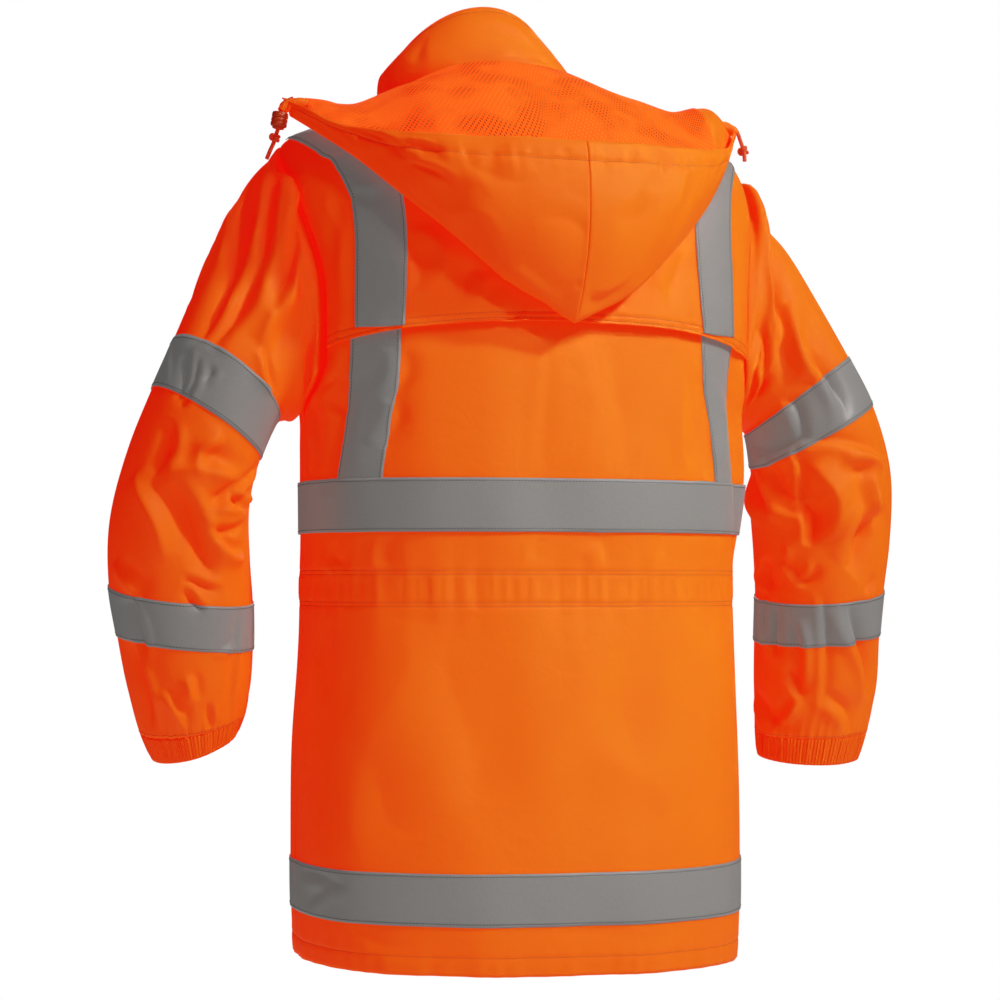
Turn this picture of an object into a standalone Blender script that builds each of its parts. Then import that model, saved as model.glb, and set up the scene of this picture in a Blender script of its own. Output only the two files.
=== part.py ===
"""Hi-vis work jacket with its hood down, hollow, as it hangs on a wearer's shoulders.

Metres. +Z is up, the fronts face -Y and the wearer's left is +X. The origin is the point between the
shoulders that carries the jacket's weight. Each cloth piece is a sheet of points, given its wall by Solidify.
"""

import math

import bmesh
import bpy
import numpy as np
from mathutils import Matrix, Vector

# Driving dimensions
CLOTH_WALL = 0.0015
MESH_WALL = 0.001
TAPE_WALL = 0.001
TAPE_WIDTH = 0.050
SEAM_GAP = 0.0004
LAYER_GAP = 0.0003
TAPE_LIFT = TAPE_WALL + 0.0004
BRACE_LIFT = TAPE_WALL + 0.0036
HOOD_SEAM_GAP = 0.0018
NECK_LEAN = 0.022
HEM_TILT = 0.027
RIGHT_BRACE_SHIFT = 0.010
SEAM_STRIP = 0.004
YOKE_STAND = 0.0105
ZIP_HALF_GAP = 0.006
ZIP_TAPE_HALF = 0.015
CHAIN_HALF = 0.003
CHAIN_THICKNESS = 0.0026
CORD_DIAMETER = 0.004
CORD_CLEARANCE = 0.0004
ARM_HALF_POINTS = 12
YOKE_COLUMNS = 10
FRONT_COLUMNS = 4
COLLAR_COLUMNS = 6
CUFF_DEPTH = 0.028
BRACE_STATIONS = 9
BRACE_COLUMNS_LEFT = slice(3, 6)
BRACE_COLUMNS_RIGHT = slice(9, 12)
SIDES = ((1, "left"), (-1, "right"))

# The body, one horizontal ring to a row. The insets are how far the armhole's edges stay from the side line.
RING_COLUMNS = (
    "side_x", "side_y", "side_z", "back_y", "back_z", "front_y", "front_z", "fullness",
    "back_inset", "front_inset",
)
RINGS = {
    "collar_top": (0.080, -0.095, 0.052, -0.028, 0.098, -0.156, 0.006, 2.0, 0, 0),
    "collar_mid": (0.098, -0.086, 0.034, -0.008, 0.070, -0.160, -0.014, 2.0, 0, 0),
    "collar_low": (0.106, -0.078, 0.012, 0.006, 0.044, -0.160, -0.036, 2.0, 0, 0),
    "neck": (0.105, -0.073, -0.006, 0.010, 0.020, -0.158, -0.055, 2.0, 0, 0),
    "shoulder_1": (0.140, -0.060, -0.014, 0.052, 0.005, -0.158, -0.085, 2.0, 0, 0),
    "shoulder_2": (0.175, -0.052, -0.024, 0.087, -0.020, -0.158, -0.112, 2.1, 0, 0),
    "shoulder_3": (0.205, -0.046, -0.036, 0.112, -0.048, -0.157, -0.138, 2.2, 0, 0),
    "shoulder_tip": (0.230, -0.040, -0.053, 0.129, -0.080, -0.157, -0.165, 2.3, 0, 0),
    "arm_1": (0.240, -0.030, -0.088, 0.141, -0.115, -0.157, -0.192, 2.4, 0.045, 0.040),
    "arm_2": (0.242, -0.020, -0.132, 0.149, -0.152, -0.157, -0.215, 2.4, 0.078, 0.070),
    "arm_3": (0.240, -0.010, -0.192, 0.154, -0.195, -0.157, -0.240, 2.4, 0.092, 0.082),
    "yoke_hem": (0.234, 0.000, -0.274, 0.158, -0.240, -0.156, -0.274, 2.4, 0.082, 0.074),
    "arm_5": (0.226, 0.008, -0.298, 0.160, -0.284, -0.154, -0.298, 2.4, 0.056, 0.050),
    "armpit": (0.219, 0.014, -0.319, 0.161, -0.319, -0.152, -0.319, 2.4, 0, 0),
    "chest": (0.219, 0.020, -0.352, 0.161, -0.352, -0.150, -0.352, 2.4, 0, 0),
    "waist_tape_top": (0.219, 0.022, -0.385, 0.160, -0.385, -0.149, -0.385, 2.4, 0, 0),
    "waist_tape_bottom": (0.217, 0.014, -0.435, 0.157, -0.435, -0.149, -0.435, 2.4, 0, 0),
    "casing_top": (0.216, 0.002, -0.475, 0.153, -0.475, -0.150, -0.475, 2.4, 0, 0),
    "casing_bottom": (0.216, 0.000, -0.502, 0.153, -0.502, -0.151, -0.502, 2.4, 0, 0),
    "skirt": (0.223, 0.000, -0.640, 0.157, -0.640, -0.156, -0.640, 2.4, 0, 0),
    "hem_tape_top": (0.225, 0.000, -0.754, 0.158, -0.754, -0.157, -0.754, 2.4, 0, 0),
    "hem_tape_bottom": (0.225, 0.000, -0.804, 0.157, -0.804, -0.156, -0.804, 2.4, 0, 0),
    "hem": (0.222, 0.000, -0.851, 0.154, -0.851, -0.153, -0.851, 2.4, 0, 0),
}
LEVELS = {name: level for level, name in enumerate(RINGS)}
ARM_HALVES = ("shoulder_tip", "arm_1", "arm_2", "arm_3", "yoke_hem", "arm_5")

# The largest folds of the body: how far round from the centre back, over which heights, how wide and deep.
FOLD_COLUMNS = ("arc_top", "arc_bottom", "z_top", "z_bottom", "half_width", "height")
FOLDS = (
    (-0.205, -0.232, -0.250, -0.470, 0.016, -0.012),
    (-0.232, -0.262, -0.270, -0.470, 0.018, 0.006),
    (0.215, 0.240, -0.290, -0.400, 0.016, -0.007),
    (0.110, 0.090, -0.510, -0.840, 0.030, -0.003),
    (-0.120, -0.100, -0.510, -0.840, 0.034, 0.003),
    (0.215, 0.205, -0.500, -0.840, 0.026, 0.004),
)

# A sleeve's sections, from the shoulder to the cuff's end: the outer and inner point of each, seen from the
# back, and its half depth in Y.
ARM_COLUMNS = ("outer_x", "outer_y", "outer_z", "inner_x", "inner_y", "inner_z", "half_depth")
ARM_RINGS = (
    "head_1", "head_2", "head_3", "upper_tape_top", "upper_tape_bottom", "upper_arm", "elbow",
    "forearm_tape_top", "forearm_tape_bottom", "lower_arm", "cuff_seam", "cuff_end",
)
ARM_SECTIONS = {
    1: (
        (0.249, -0.034, -0.071, 0.226, 0.012, -0.3215, 0.086),
        (0.277, -0.022, -0.122, 0.231, 0.012, -0.3225, 0.081),
        (0.314, -0.004, -0.188, 0.239, 0.014, -0.3240, 0.075),
        (0.344, 0.012, -0.250, 0.248, 0.018, -0.3280, 0.070),
        (0.366, 0.019, -0.297, 0.265, 0.019, -0.3650, 0.068),
        (0.389, 0.017, -0.354, 0.274, 0.017, -0.4050, 0.067),
        (0.4060, 0.008, -0.430, 0.272, 0.008, -0.4590, 0.067),
        (0.4045, 0.000, -0.486, 0.267, 0.000, -0.5000, 0.066),
        (0.396, -0.006, -0.533, 0.265, -0.006, -0.5450, 0.064),
        (0.385, -0.011, -0.586, 0.267, -0.011, -0.5840, 0.059),
        (0.372, -0.016, -0.628, 0.273, -0.016, -0.6080, 0.050),
        (0.361, -0.020, -0.653, 0.280, -0.020, -0.6260, 0.044),
    ),
    -1: (
        (0.251, -0.034, -0.071, 0.226, 0.012, -0.3215, 0.086),
        (0.285, -0.022, -0.124, 0.231, 0.012, -0.3225, 0.081),
        (0.320, -0.004, -0.190, 0.238, 0.014, -0.3240, 0.075),
        (0.349, 0.012, -0.252, 0.245, 0.018, -0.3280, 0.070),
        (0.373, 0.019, -0.297, 0.250, 0.019, -0.3660, 0.068),
        (0.394, 0.017, -0.354, 0.249, 0.017, -0.4050, 0.067),
        (0.4005, 0.008, -0.430, 0.256, 0.008, -0.4590, 0.067),
        (0.3975, 0.000, -0.486, 0.262, 0.000, -0.5000, 0.066),
        (0.396, -0.006, -0.533, 0.264, -0.006, -0.5450, 0.064),
        (0.396, -0.011, -0.586, 0.265, -0.011, -0.5920, 0.059),
        (0.386, -0.016, -0.636, 0.268, -0.016, -0.6390, 0.051),
        (0.379, -0.020, -0.664, 0.271, -0.020, -0.6640, 0.047),
    ),
}

# The hood, one section to a row, from the centre back to a corner: its neck edge, bottom fold and lip.
HOOD_COLUMNS = (
    "across", "neck_x", "neck_y", "neck_z", "fold_x", "fold_y", "fold_z", "lip_x", "lip_y", "lip_z",
    "inner_bulge", "outer_bulge",
)
HOOD_SECTIONS = (
    (0.00, 0.000, 0.016, 0.031, 0.000, 0.184, -0.243, 0.000, 0.216, -0.080, 0.057, 0.022),
    (0.25, 0.055, 0.006, 0.027, 0.055, 0.184, -0.214, 0.062, 0.207, -0.078, 0.057, 0.020),
    (0.50, 0.112, -0.030, 0.005, 0.108, 0.172, -0.166, 0.121, 0.183, -0.075, 0.056, 0.016),
    (0.70, 0.158, -0.030, -0.014, 0.150, 0.143, -0.124, 0.164, 0.145, -0.067, 0.045, 0.010),
    (0.86, 0.196, -0.020, -0.015, 0.186, 0.104, -0.083, 0.196, 0.096, -0.052, 0.039, 0.006),
    (1.00, 0.226, -0.006, -0.012, 0.226, 0.035, -0.037, 0.228, 0.034, -0.022, 0.006, 0.003),
)
HOOD_FOLD_RADIUS = 0.009
HOOD_REACH = {1: 1.05, -1: 0.962}
HOOD_ACROSS = 8
HOOD_STEPS = 4

# The middle line of each brace tape, as positions on the body: its ring's number, then its distance round.
BRACES = {
    "yoke": ((5.95, 0.280), (6.1, 0.262), (6.5, 0.230), (7.2, 0.197), (8.0, 0.180), (9.0, 0.173),
             (10.0, 0.173), (10.96, 0.175)),
    "back": ((10.5, 0.180), (12.0, 0.184), (13.5, 0.194), (15.0, 0.200)),
    "front": ((5.95, 0.280), (6.1, 0.260), (6.6, 0.232), (7.4, 0.206), (8.5, 0.190), (10.0, 0.184),
              (12.0, 0.184), (14.95, 0.184)),
}

# The zip's slider and pull tab, as boxes: width, height and depth, then the middle in the slider's own axes.
SLIDER_BOXES = (
    (0.0100, 0.0130, 0.0036, 0.0, 0.0000, 0.0034),
    (0.0024, 0.0014, 0.0052, 0.0, 0.0032, 0.0074),
    (0.0024, 0.0014, 0.0052, 0.0, -0.0016, 0.0074),
    (0.0024, 0.0062, 0.0014, 0.0, 0.0008, 0.0093),
)
PULL_BAR = 0.0015
PULL_WIDTH = 0.008
PULL_LENGTH = 0.028
PULL_WINDOW = (0.0044, 0.0060)
PULL_AXIS_HEIGHT = 0.0008
PULL_AXIS_DEPTH = 0.0069
SLIDER_LEVEL = 0.8

# The hood's drawcord: the free end at each corner. A bead is between two of its points, and has a radius,
# a length and a profile, as shares of the wall round its bore and of half its length.
CORD_ROUTES = {
    1: ((0.2442, 0.032, -0.0250), (0.2458, 0.032, -0.0330), (0.2484, 0.031, -0.0490),
        (0.2496, 0.031, -0.0530), (0.2522, 0.030, -0.0620), (0.2558, 0.030, -0.0700),
        (0.2590, 0.030, -0.0780)),
    -1: ((-0.2222, 0.036, -0.0270), (-0.2228, 0.042, -0.0350), (-0.2228, 0.049, -0.0440),
         (-0.2225, 0.054, -0.0520), (-0.2220, 0.056, -0.0590)),
}
KNOT_PROFILE = ((0, -1), (0.7, -1), (1, -0.4), (1, 0.4), (0.7, 1), (0, 1))
LOCK_PROFILE = ((0, -1), (0.85, -1), (1, -0.85), (1, 0.85), (0.85, 1), (0, 1))
BEAD_COLUMNS = ("side", "name", "after_point", "radius", "length", "profile", "look")
BEADS = (
    (1, "hood_cord_lock_left", 1, 0.0078, 0.0160, LOCK_PROFILE, "plastic"),
    (1, "hood_cord_knot_left", 3, 0.0062, 0.0085, KNOT_PROFILE, "cord"),
    (-1, "hood_cord_knot_right", 2, 0.0062, 0.0090, KNOT_PROFILE, "cord"),
)
BEAD_SIDES = 12

ORANGE = (0.86, 0.125, 0.012, 1.0)
MESH_ORANGE = (0.80, 0.085, 0.012, 1.0)
TAPE_GREY = (0.23, 0.22, 0.21, 1.0)
PULL_GREY = (0.10, 0.10, 0.10, 1.0)


def make_material(name, colour, roughness, metallic=0.0):
    material = bpy.data.materials.new(name)
    material.use_nodes = True
    shader = material.node_tree.nodes["Principled BSDF"]
    shader.inputs["Base Color"].default_value = colour
    shader.inputs["Roughness"].default_value = roughness
    shader.inputs["Metallic"].default_value = metallic
    return material


def smooth_row(rows, position):
    """The table's row at a position between rows, on a Catmull-Rom curve through them."""
    rows = np.asarray(rows, float)
    last = len(rows) - 1
    start = min(int(position), last - 1)
    t = position - start
    before, here, there, after = (rows[min(max(start + step, 0), last)] for step in (-1, 0, 1, 2))
    return 0.5 * (
        2 * here
        + (there - before) * t
        + (2 * before - 5 * here + 4 * there - after) * t**2
        + (3 * (here - there) + after - before) * t**3
    )


def ring_at(level):
    return dict(zip(RING_COLUMNS, smooth_row(list(RINGS.values()), level)))


def quarter(level, face):
    """Points of a ring from its centre back or centre front to the side line, and the length up to each."""
    ring = ring_at(level)
    turn = np.linspace(0, math.pi / 2, 73)
    power = 2 / ring["fullness"]
    across = np.sin(turn) ** power
    along = np.cos(turn) ** power
    x = ring["side_x"] * across
    y = ring["side_y"] + (ring[face + "_y"] - ring["side_y"]) * along
    z = ring["side_z"] + (ring[face + "_z"] - ring["side_z"]) * along**1.5
    points = np.stack([x, y, z], axis=1)
    steps = np.linalg.norm(np.diff(points, axis=0), axis=1)
    return points, np.concatenate([[0], np.cumsum(steps)])


def fold_height(arc, z):
    """How far the body's folds move a point out, by its distance round from the centre back and its height."""
    total = 0.0
    for row in FOLDS:
        fold = dict(zip(FOLD_COLUMNS, row))
        share = (fold["z_top"] - z) / (fold["z_top"] - fold["z_bottom"])
        if 0 < share < 1:
            middle = fold["arc_top"] + share * (fold["arc_bottom"] - fold["arc_top"])
            reach = (arc - middle) / fold["half_width"]
            total += fold["height"] * math.sin(math.pi * share) ** 0.7 * math.exp(-(reach**2))
    return total


def body_point(level, arc, face):
    """A point of the body's outer face, by its signed distance round from the centre back or centre front."""
    points, lengths = quarter(level, "back" if face == "yoke" else face)
    x, y, z = (np.interp(abs(arc), lengths, points[:, axis]) for axis in range(3))
    past_side = max(abs(arc) - lengths[-1], 0)
    y += math.copysign(past_side, points[-1, 1] - points[-2, 1])
    if face != "front" and level > LEVELS["arm_2"]:
        out = np.array([x, y, 0.0]) / math.hypot(x, y)
        x, y, z = np.array([x, y, z]) + out * fold_height(arc, z)
    lean = NECK_LEAN * np.clip((LEVELS["shoulder_2"] - level) / 4, 0, 1)
    x = math.copysign(x, arc)
    skirt = np.clip((level - LEVELS["casing_bottom"]) / (LEVELS["hem"] - LEVELS["casing_bottom"]), 0, 1)
    return np.array([x + lean, y, z + HEM_TILT * skirt * x])


def panel_edge(level, face):
    """How far a panel reaches round from its centre line: to the shoulder, armhole or side seam."""
    inset = ring_at(level)[face + "_inset"]
    return quarter(level, face)[1][-1] - max(inset, 0) - SEAM_GAP / 2


def panel_point(level, arc, face):
    """A point of the body, or of the collar above it: the yoke's face stands clear of the back under it."""
    point = body_point(level, arc, face)
    if face != "yoke":
        return point
    return point + body_normal(level, arc) * yoke_rise(level, arc)


def body_normal(level, arc, face="back"):
    down = body_point(level + 0.05, arc, face) - body_point(level - 0.05, arc, face)
    along = body_point(level, arc + 0.002, face) - body_point(level, arc - 0.002, face)
    normal = np.cross(along, down) if face == "back" else np.cross(down, along)
    return normal / np.linalg.norm(normal)


def yoke_rise(level, arc):
    """The yoke lies on the shoulders, then stands further off the back towards the middle of its hem."""
    down = np.clip((level - LEVELS["shoulder_3"]) / (LEVELS["yoke_hem"] - LEVELS["shoulder_3"]), 0, 1)
    round_to_edge = min(abs(arc) / panel_edge(level, "back"), 1)
    edge_rise = CLOTH_WALL + 5 * LAYER_GAP
    middle_rise = YOKE_STAND * math.cos(round_to_edge * math.pi / 2) ** 0.5
    return max(edge_rise * min(down * 3, 1), middle_rise * down)


def outward(grid, closed=False):
    """Unit normals of a grid of points whose rows run down and whose columns run anticlockwise from above."""
    if closed:
        wrapped = np.concatenate([grid[:, -1:], grid, grid[:, :1]], axis=1)
        across = np.gradient(wrapped, axis=1)[:, 1:-1]
    else:
        across = np.gradient(grid, axis=1)
    normals = np.cross(np.gradient(grid, axis=0), across)
    return normals / np.linalg.norm(normals, axis=2, keepdims=True)


def lifted(grid, distance, closed=False):
    return grid + outward(grid, closed) * distance


def mirrored(grid):
    """The grid on the wearer's other side, with its columns still running anticlockwise from above."""
    return (grid * (-1, 1, 1))[:, ::-1]


def add_object(name, mesh, material, collection):
    obj = bpy.data.objects.new(name, mesh)
    obj.data.materials.append(material)
    collection.objects.link(obj)
    return obj


def add_sheet(name, grid, wall, material, collection, closed=False, keep=None):
    """A cloth piece: the grid is its outer face, and its wall goes inwards. keep picks some of its cells."""
    rows, columns = grid.shape[:2]
    build = bmesh.new()
    points = [[build.verts.new(point) for point in row] for row in grid.tolist()]
    for row in range(rows - 1):
        for column in range(columns if closed else columns - 1):
            after = (column + 1) % columns
            if keep is None or keep(row, column):
                build.faces.new((points[row][column], points[row + 1][column], points[row + 1][after],
                                 points[row][after]))
    loose = [point for point in build.verts if not point.link_faces]
    bmesh.ops.delete(build, geom=loose, context="VERTS")
    mesh = bpy.data.meshes.new(name)
    build.to_mesh(mesh)
    build.free()
    obj = add_object(name, mesh, material, collection)
    solidify = obj.modifiers.new("Wall", "SOLIDIFY")
    solidify.thickness = wall
    solidify.offset = -1
    return obj


def levels_between(first, last, halves=()):
    """The rings from first to last, with one more half way after each ring named in halves."""
    levels = []
    for name, level in LEVELS.items():
        if LEVELS[first] <= level <= LEVELS[last]:
            levels.append(float(level))
            if name in halves and level < LEVELS[last]:
                levels.append(level + 0.5)
    return levels


def with_seam_strips(arcs):
    """The distances with a narrow strip beside each edge, where the cloth lies square to the seam."""
    first = math.copysign(SEAM_STRIP, arcs[1] - arcs[0])
    last = math.copysign(SEAM_STRIP, arcs[-2] - arcs[-1])
    return np.concatenate([arcs[:1], arcs[:1] + first, arcs[1:-1], arcs[-1:] + last, arcs[-1:]])


def yoke_grid(levels):
    rows = []
    for level in levels:
        edge = panel_edge(level, "back") - 2 * CLOTH_WALL * (level >= LEVELS["shoulder_tip"])
        arcs = with_seam_strips(np.linspace(edge, -edge, YOKE_COLUMNS + 1))
        rows.append([panel_point(level, arc, "yoke") for arc in arcs])
    return np.array(rows)


def back_panel_arcs(level, side):
    """Distances from the back panel's edge on one side to its middle, with three of them on the brace tape."""
    edge = panel_edge(level, "back")
    middle = brace_arc(np.interp(level, *zip(*BRACES["back"])), side)
    outer, inner = middle + TAPE_WIDTH / 2, middle - TAPE_WIDTH / 2
    outer = min(outer, edge - 2 * SEAM_STRIP)
    return [edge, edge - SEAM_STRIP, (edge + outer) / 2, outer, (outer + inner) / 2, inner, inner / 2, 0.0]


def brace_arc(arc, side):
    """How far round a brace tape's middle line is: the one on the wearer's right is a little further in."""
    return arc - RIGHT_BRACE_SHIFT * (side < 0)


def back_grid(levels):
    rows = []
    for level in levels:
        left, right = (back_panel_arcs(level, side) for side, hand in SIDES)
        rows.append([body_point(level, arc, "back") for arc in left + [-arc for arc in right[-2::-1]]])
    return np.array(rows)


def front_grid(levels, side):
    """A front, between the zip and the shoulder, armhole or side seam."""
    rows = []
    for level in levels:
        arcs = with_seam_strips(np.linspace(ZIP_HALF_GAP, panel_edge(level, "front"), FRONT_COLUMNS + 1))
        rows.append([body_point(level, side * arc, "front") for arc in arcs[::side]])
    return np.array(rows)


def add_body(looks, collection):
    yoke = yoke_grid(levels_between("neck", "yoke_hem", ARM_HALVES))
    add_sheet("back_yoke", yoke, CLOTH_WALL, looks["cloth"], collection)
    back_levels = [level for level in levels_between("arm_2", "hem", ARM_HALVES) if level > LEVELS["arm_2"]]
    add_sheet("back_panel", back_grid(back_levels), CLOTH_WALL, looks["cloth"], collection)
    front_levels = levels_between("neck", "hem", ARM_HALVES)
    for side, hand in SIDES:
        add_sheet("front_" + hand, front_grid(front_levels, side), CLOTH_WALL, looks["cloth"], collection)


def add_band_tapes(looks, collection):
    """The tapes round the waist and near the hem, one piece to each panel that they are sewn on."""
    for name in ("waist_tape", "hem_tape"):
        levels = levels_between(name + "_top", name + "_bottom")
        back = lifted(back_grid(levels), TAPE_LIFT)
        add_sheet(name + "_back", back, TAPE_WALL, looks["tape"], collection)
        for side, hand in SIDES:
            front = lifted(front_grid(levels, side), TAPE_LIFT)
            add_sheet(name + "_front_" + hand, front, TAPE_WALL, looks["tape"], collection)


def beside(level, arc, face, along, distance):
    """The point of a panel reached by going sideways from a line on it, whose direction is along."""
    down = (panel_point(level + 0.05, arc, face) - panel_point(level - 0.05, arc, face)) / 0.1
    round_body = (panel_point(level, arc + 0.002, face) - panel_point(level, arc - 0.002, face)) / 0.004
    normal = np.cross(down, round_body)
    normal /= np.linalg.norm(normal)
    sideways = np.cross(normal, along)
    steps = np.linalg.lstsq(np.stack([down, round_body], axis=1), sideways * distance, rcond=None)[0]
    return panel_point(level + steps[0], arc + steps[1], face)


def brace_grid(path, face, side):
    """A tape along a path on a panel, its columns running anticlockwise from above."""
    places = [smooth_row(path, place) for place in np.linspace(0, len(path) - 1, BRACE_STATIONS)]
    places = [(level, side * brace_arc(arc, side)) for level, arc in places]
    centre = np.array([panel_point(level, arc, face) for level, arc in places])
    along = np.gradient(centre, axis=0)
    along /= np.linalg.norm(along, axis=1, keepdims=True)
    offsets = np.linspace(-0.5, 0.5, 4) * TAPE_WIDTH
    rows = [[beside(level, arc, face, direction, offset) for offset in offsets]
            for (level, arc), direction in zip(places, along)]
    grid = np.array(rows)
    middle = grid[len(grid) // 2]
    turns = np.cross(middle[0] + middle[-1], middle[-1] - middle[0])[2]
    return grid if turns > 0 else grid[:, ::-1]


def add_braces(looks, collection):
    for side, hand in SIDES:
        for face in ("yoke", "front"):
            grid = lifted(brace_grid(BRACES[face], face, side), BRACE_LIFT)
            add_sheet("brace_" + face + "_" + hand, grid, TAPE_WALL, looks["tape"], collection)
    levels = levels_between("arm_3", "waist_tape_top", ARM_HALVES)
    levels = [level for level in levels if level > LEVELS["arm_3"]]
    levels[0] += 0.25
    levels[-1] -= 0.03
    back = lifted(back_grid(levels), TAPE_LIFT)
    add_sheet("brace_back_left", back[:, BRACE_COLUMNS_LEFT], TAPE_WALL, looks["tape"], collection)
    add_sheet("brace_back_right", back[:, BRACE_COLUMNS_RIGHT], TAPE_WALL, looks["tape"], collection)


def armhole_loop(side):
    """An armhole's seam, from its top round the back to the armpit and up the front, as if on the left."""
    levels = np.linspace(LEVELS["shoulder_tip"], LEVELS["armpit"], ARM_HALF_POINTS + 1)
    back = [body_point(level, side * panel_edge(level, "back"), "back") for level in levels]
    front = [body_point(level, side * panel_edge(level, "front"), "front") for level in levels[1:-1]]
    return np.array(back + front[::-1]) * (side, 1, 1) + (SEAM_GAP, 0, 0)


def arm_grid(side):
    """A sleeve and its cuff, as if on the wearer's left: closed rings from the armhole to the cuff's end."""
    rows = [dict(zip(ARM_COLUMNS, row)) for row in ARM_SECTIONS[side]]
    outer = np.array([[row["outer_" + axis] for axis in "xyz"] for row in rows])
    inner = np.array([[row["inner_" + axis] for axis in "xyz"] for row in rows])
    centre = (outer + inner) / 2
    half_width = (outer - inner) / 2
    along = np.gradient(centre, axis=0)
    depth = np.cross(half_width, along)
    depth *= np.array([[row["half_depth"]] for row in rows]) / np.linalg.norm(depth, axis=1, keepdims=True)
    turn = np.linspace(0, 2 * math.pi, 2 * ARM_HALF_POINTS, endpoint=False)[None, :, None]
    rings = centre[:, None] + half_width[:, None] * np.cos(turn) + depth[:, None] * np.sin(turn)
    loop = armhole_loop(side)
    strip = loop + (SEAM_STRIP, 0, 0)
    return np.concatenate([loop[None], strip[None], rings]), ["armhole", "armhole_strip", *ARM_RINGS]


def add_arm(side, hand, looks, collection):
    grid, names = arm_grid(side)
    place = {name: row for row, name in enumerate(names)}

    def add_band(name, rings, wall, look):
        rings = rings if side > 0 else mirrored(rings)
        add_sheet(name + "_" + hand, rings, wall, looks[look], collection, closed=True)

    add_band("sleeve", grid[: place["cuff_seam"] + 1], CLOTH_WALL, "cloth")
    whole = lifted(grid, TAPE_LIFT, closed=True)
    for name in ("upper", "forearm"):
        first = place[name + "_tape_top"]
        tape = "upper_arm_tape" if name == "upper" else "forearm_tape"
        add_band(tape, whole[first : first + 2], TAPE_WALL, "tape")
    cuff = grid[place["cuff_seam"] :]
    shares = (SEAM_GAP / CUFF_DEPTH, 0.5, 1)
    rings = np.array([cuff[0] + (cuff[1] - cuff[0]) * share for share in shares])
    add_band("cuff", rings, 2 * CLOTH_WALL, "cloth")


def add_collar(looks, collection):
    """A stand collar, open at the front where the zip runs up it."""
    rows = []
    for level in levels_between("collar_top", "collar_low") + [LEVELS["neck"] - 0.05]:
        back_arcs = np.linspace(quarter(level, "back")[1][-1], 0, COLLAR_COLUMNS)
        front_arcs = with_seam_strips(np.linspace(ZIP_HALF_GAP, quarter(level, "front")[1][-1], COLLAR_COLUMNS))
        back = [[body_point(level, side * arc, "back") for arc in back_arcs] for side, hand in SIDES]
        front = [[body_point(level, side * arc, "front") for arc in front_arcs[:-2]] for side, hand in SIDES]
        rows.append(front[0] + back[0] + back[1][-2::-1] + front[1][::-1])
    add_sheet("collar", np.array(rows), CLOTH_WALL, looks["cloth"], collection)


def hood_section(across):
    rows = np.array(HOOD_SECTIONS)
    position = np.interp(across, rows[:, 0], np.arange(len(rows)))
    return dict(zip(HOOD_COLUMNS, smooth_row(rows, position)))


def bulged(first, last, bulge, out, share):
    chord = last - first
    push = np.cross((1, 0, 0), chord)
    push /= np.linalg.norm(push)
    push *= 1 if push @ out > 0 else -1
    return first + chord * share + push * bulge * 4 * share * (1 - share)


def hood_column(across, side):
    """A hood section from its neck edge, down its inner layer, round the bottom fold and up to its lip."""
    section = hood_section(across)
    section["neck_x"] += side * NECK_LEAN / 2 * (1 - across)
    neck, fold, lip = (np.array([section[end + "_" + axis] for axis in "xyz"])
                       for end in ("neck", "fold", "lip"))
    up_out = np.array((0, 1, 1))
    down_out = np.array((0, 1, -1))
    radius = HOOD_FOLD_RADIUS * (1 - 0.5 * across)
    inner_end = fold + np.array((0, -radius, radius * 0.7))
    outer_start = fold + np.array((0, radius, radius * 0.7))
    shares = np.linspace(0, 1, HOOD_STEPS + 1)
    points = [bulged(neck, inner_end, section["inner_bulge"], up_out, share) for share in shares]
    points.append(fold)
    points += [bulged(outer_start, lip, section["outer_bulge"], down_out, share) for share in shares]
    reach = 1 + (HOOD_REACH[side] - 1) * across
    return np.array(points) * (side * reach, 1, 1)


def hood_grid():
    """The whole pouch, its columns running from the wearer's right corner to the left one."""
    shares = np.linspace(0, 1, HOOD_ACROSS + 1)
    right = [hood_column(across, -1) for across in shares[:0:-1]]
    left = [hood_column(across, 1) for across in shares]
    return np.stack(right + left, axis=1)


def add_hood(looks, collection):
    grid = hood_grid()
    gap = np.array((HOOD_SEAM_GAP / 2, 0, 0))
    right, left = grid[:, : HOOD_ACROSS + 1].copy(), grid[:, HOOD_ACROSS:].copy()
    right[:, -1] -= gap
    left[:, 0] += gap
    add_sheet("hood_right", right, CLOTH_WALL, looks["cloth"], collection)
    add_sheet("hood_left", left, CLOTH_WALL, looks["cloth"], collection)
    lining = lifted(grid, -(CLOTH_WALL + 3 * LAYER_GAP))[:-1, 2:-2]
    add_sheet("hood_lining", lining, MESH_WALL, looks["mesh"], collection)
    facing = lifted(grid, -(CLOTH_WALL + MESH_WALL + 5 * LAYER_GAP))[-2:, 1:-1]
    add_sheet("hood_facing", facing, MESH_WALL, looks["cloth"], collection)


def add_zip(looks, collection):
    """The zip's tape behind the fronts, its closed chain between them, and its slider and pull tab."""
    levels = levels_between("collar_top", "hem")

    def strip(half_width, columns, lift):
        arcs = np.linspace(-half_width, half_width, columns)
        return lifted(np.array([[body_point(level, arc, "front") for arc in arcs] for level in levels]), lift)

    tape_lift = -(CLOTH_WALL + 3 * LAYER_GAP)
    add_sheet("zip_tape", strip(ZIP_TAPE_HALF, 3, tape_lift), MESH_WALL, looks["cloth"], collection)
    chain_lift = tape_lift + LAYER_GAP + CHAIN_THICKNESS
    add_sheet("zip_chain", strip(CHAIN_HALF, 3, chain_lift), CHAIN_THICKNESS, looks["metal"], collection)


def add_box(name, size, middle, collection):
    mesh = bpy.data.meshes.new(name)
    build = bmesh.new()
    bmesh.ops.create_cube(build, size=1)
    bmesh.ops.scale(build, vec=size, verts=build.verts)
    bmesh.ops.translate(build, vec=middle, verts=build.verts)
    build.to_mesh(mesh)
    build.free()
    obj = bpy.data.objects.new(name, mesh)
    collection.objects.link(obj)
    return obj


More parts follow.
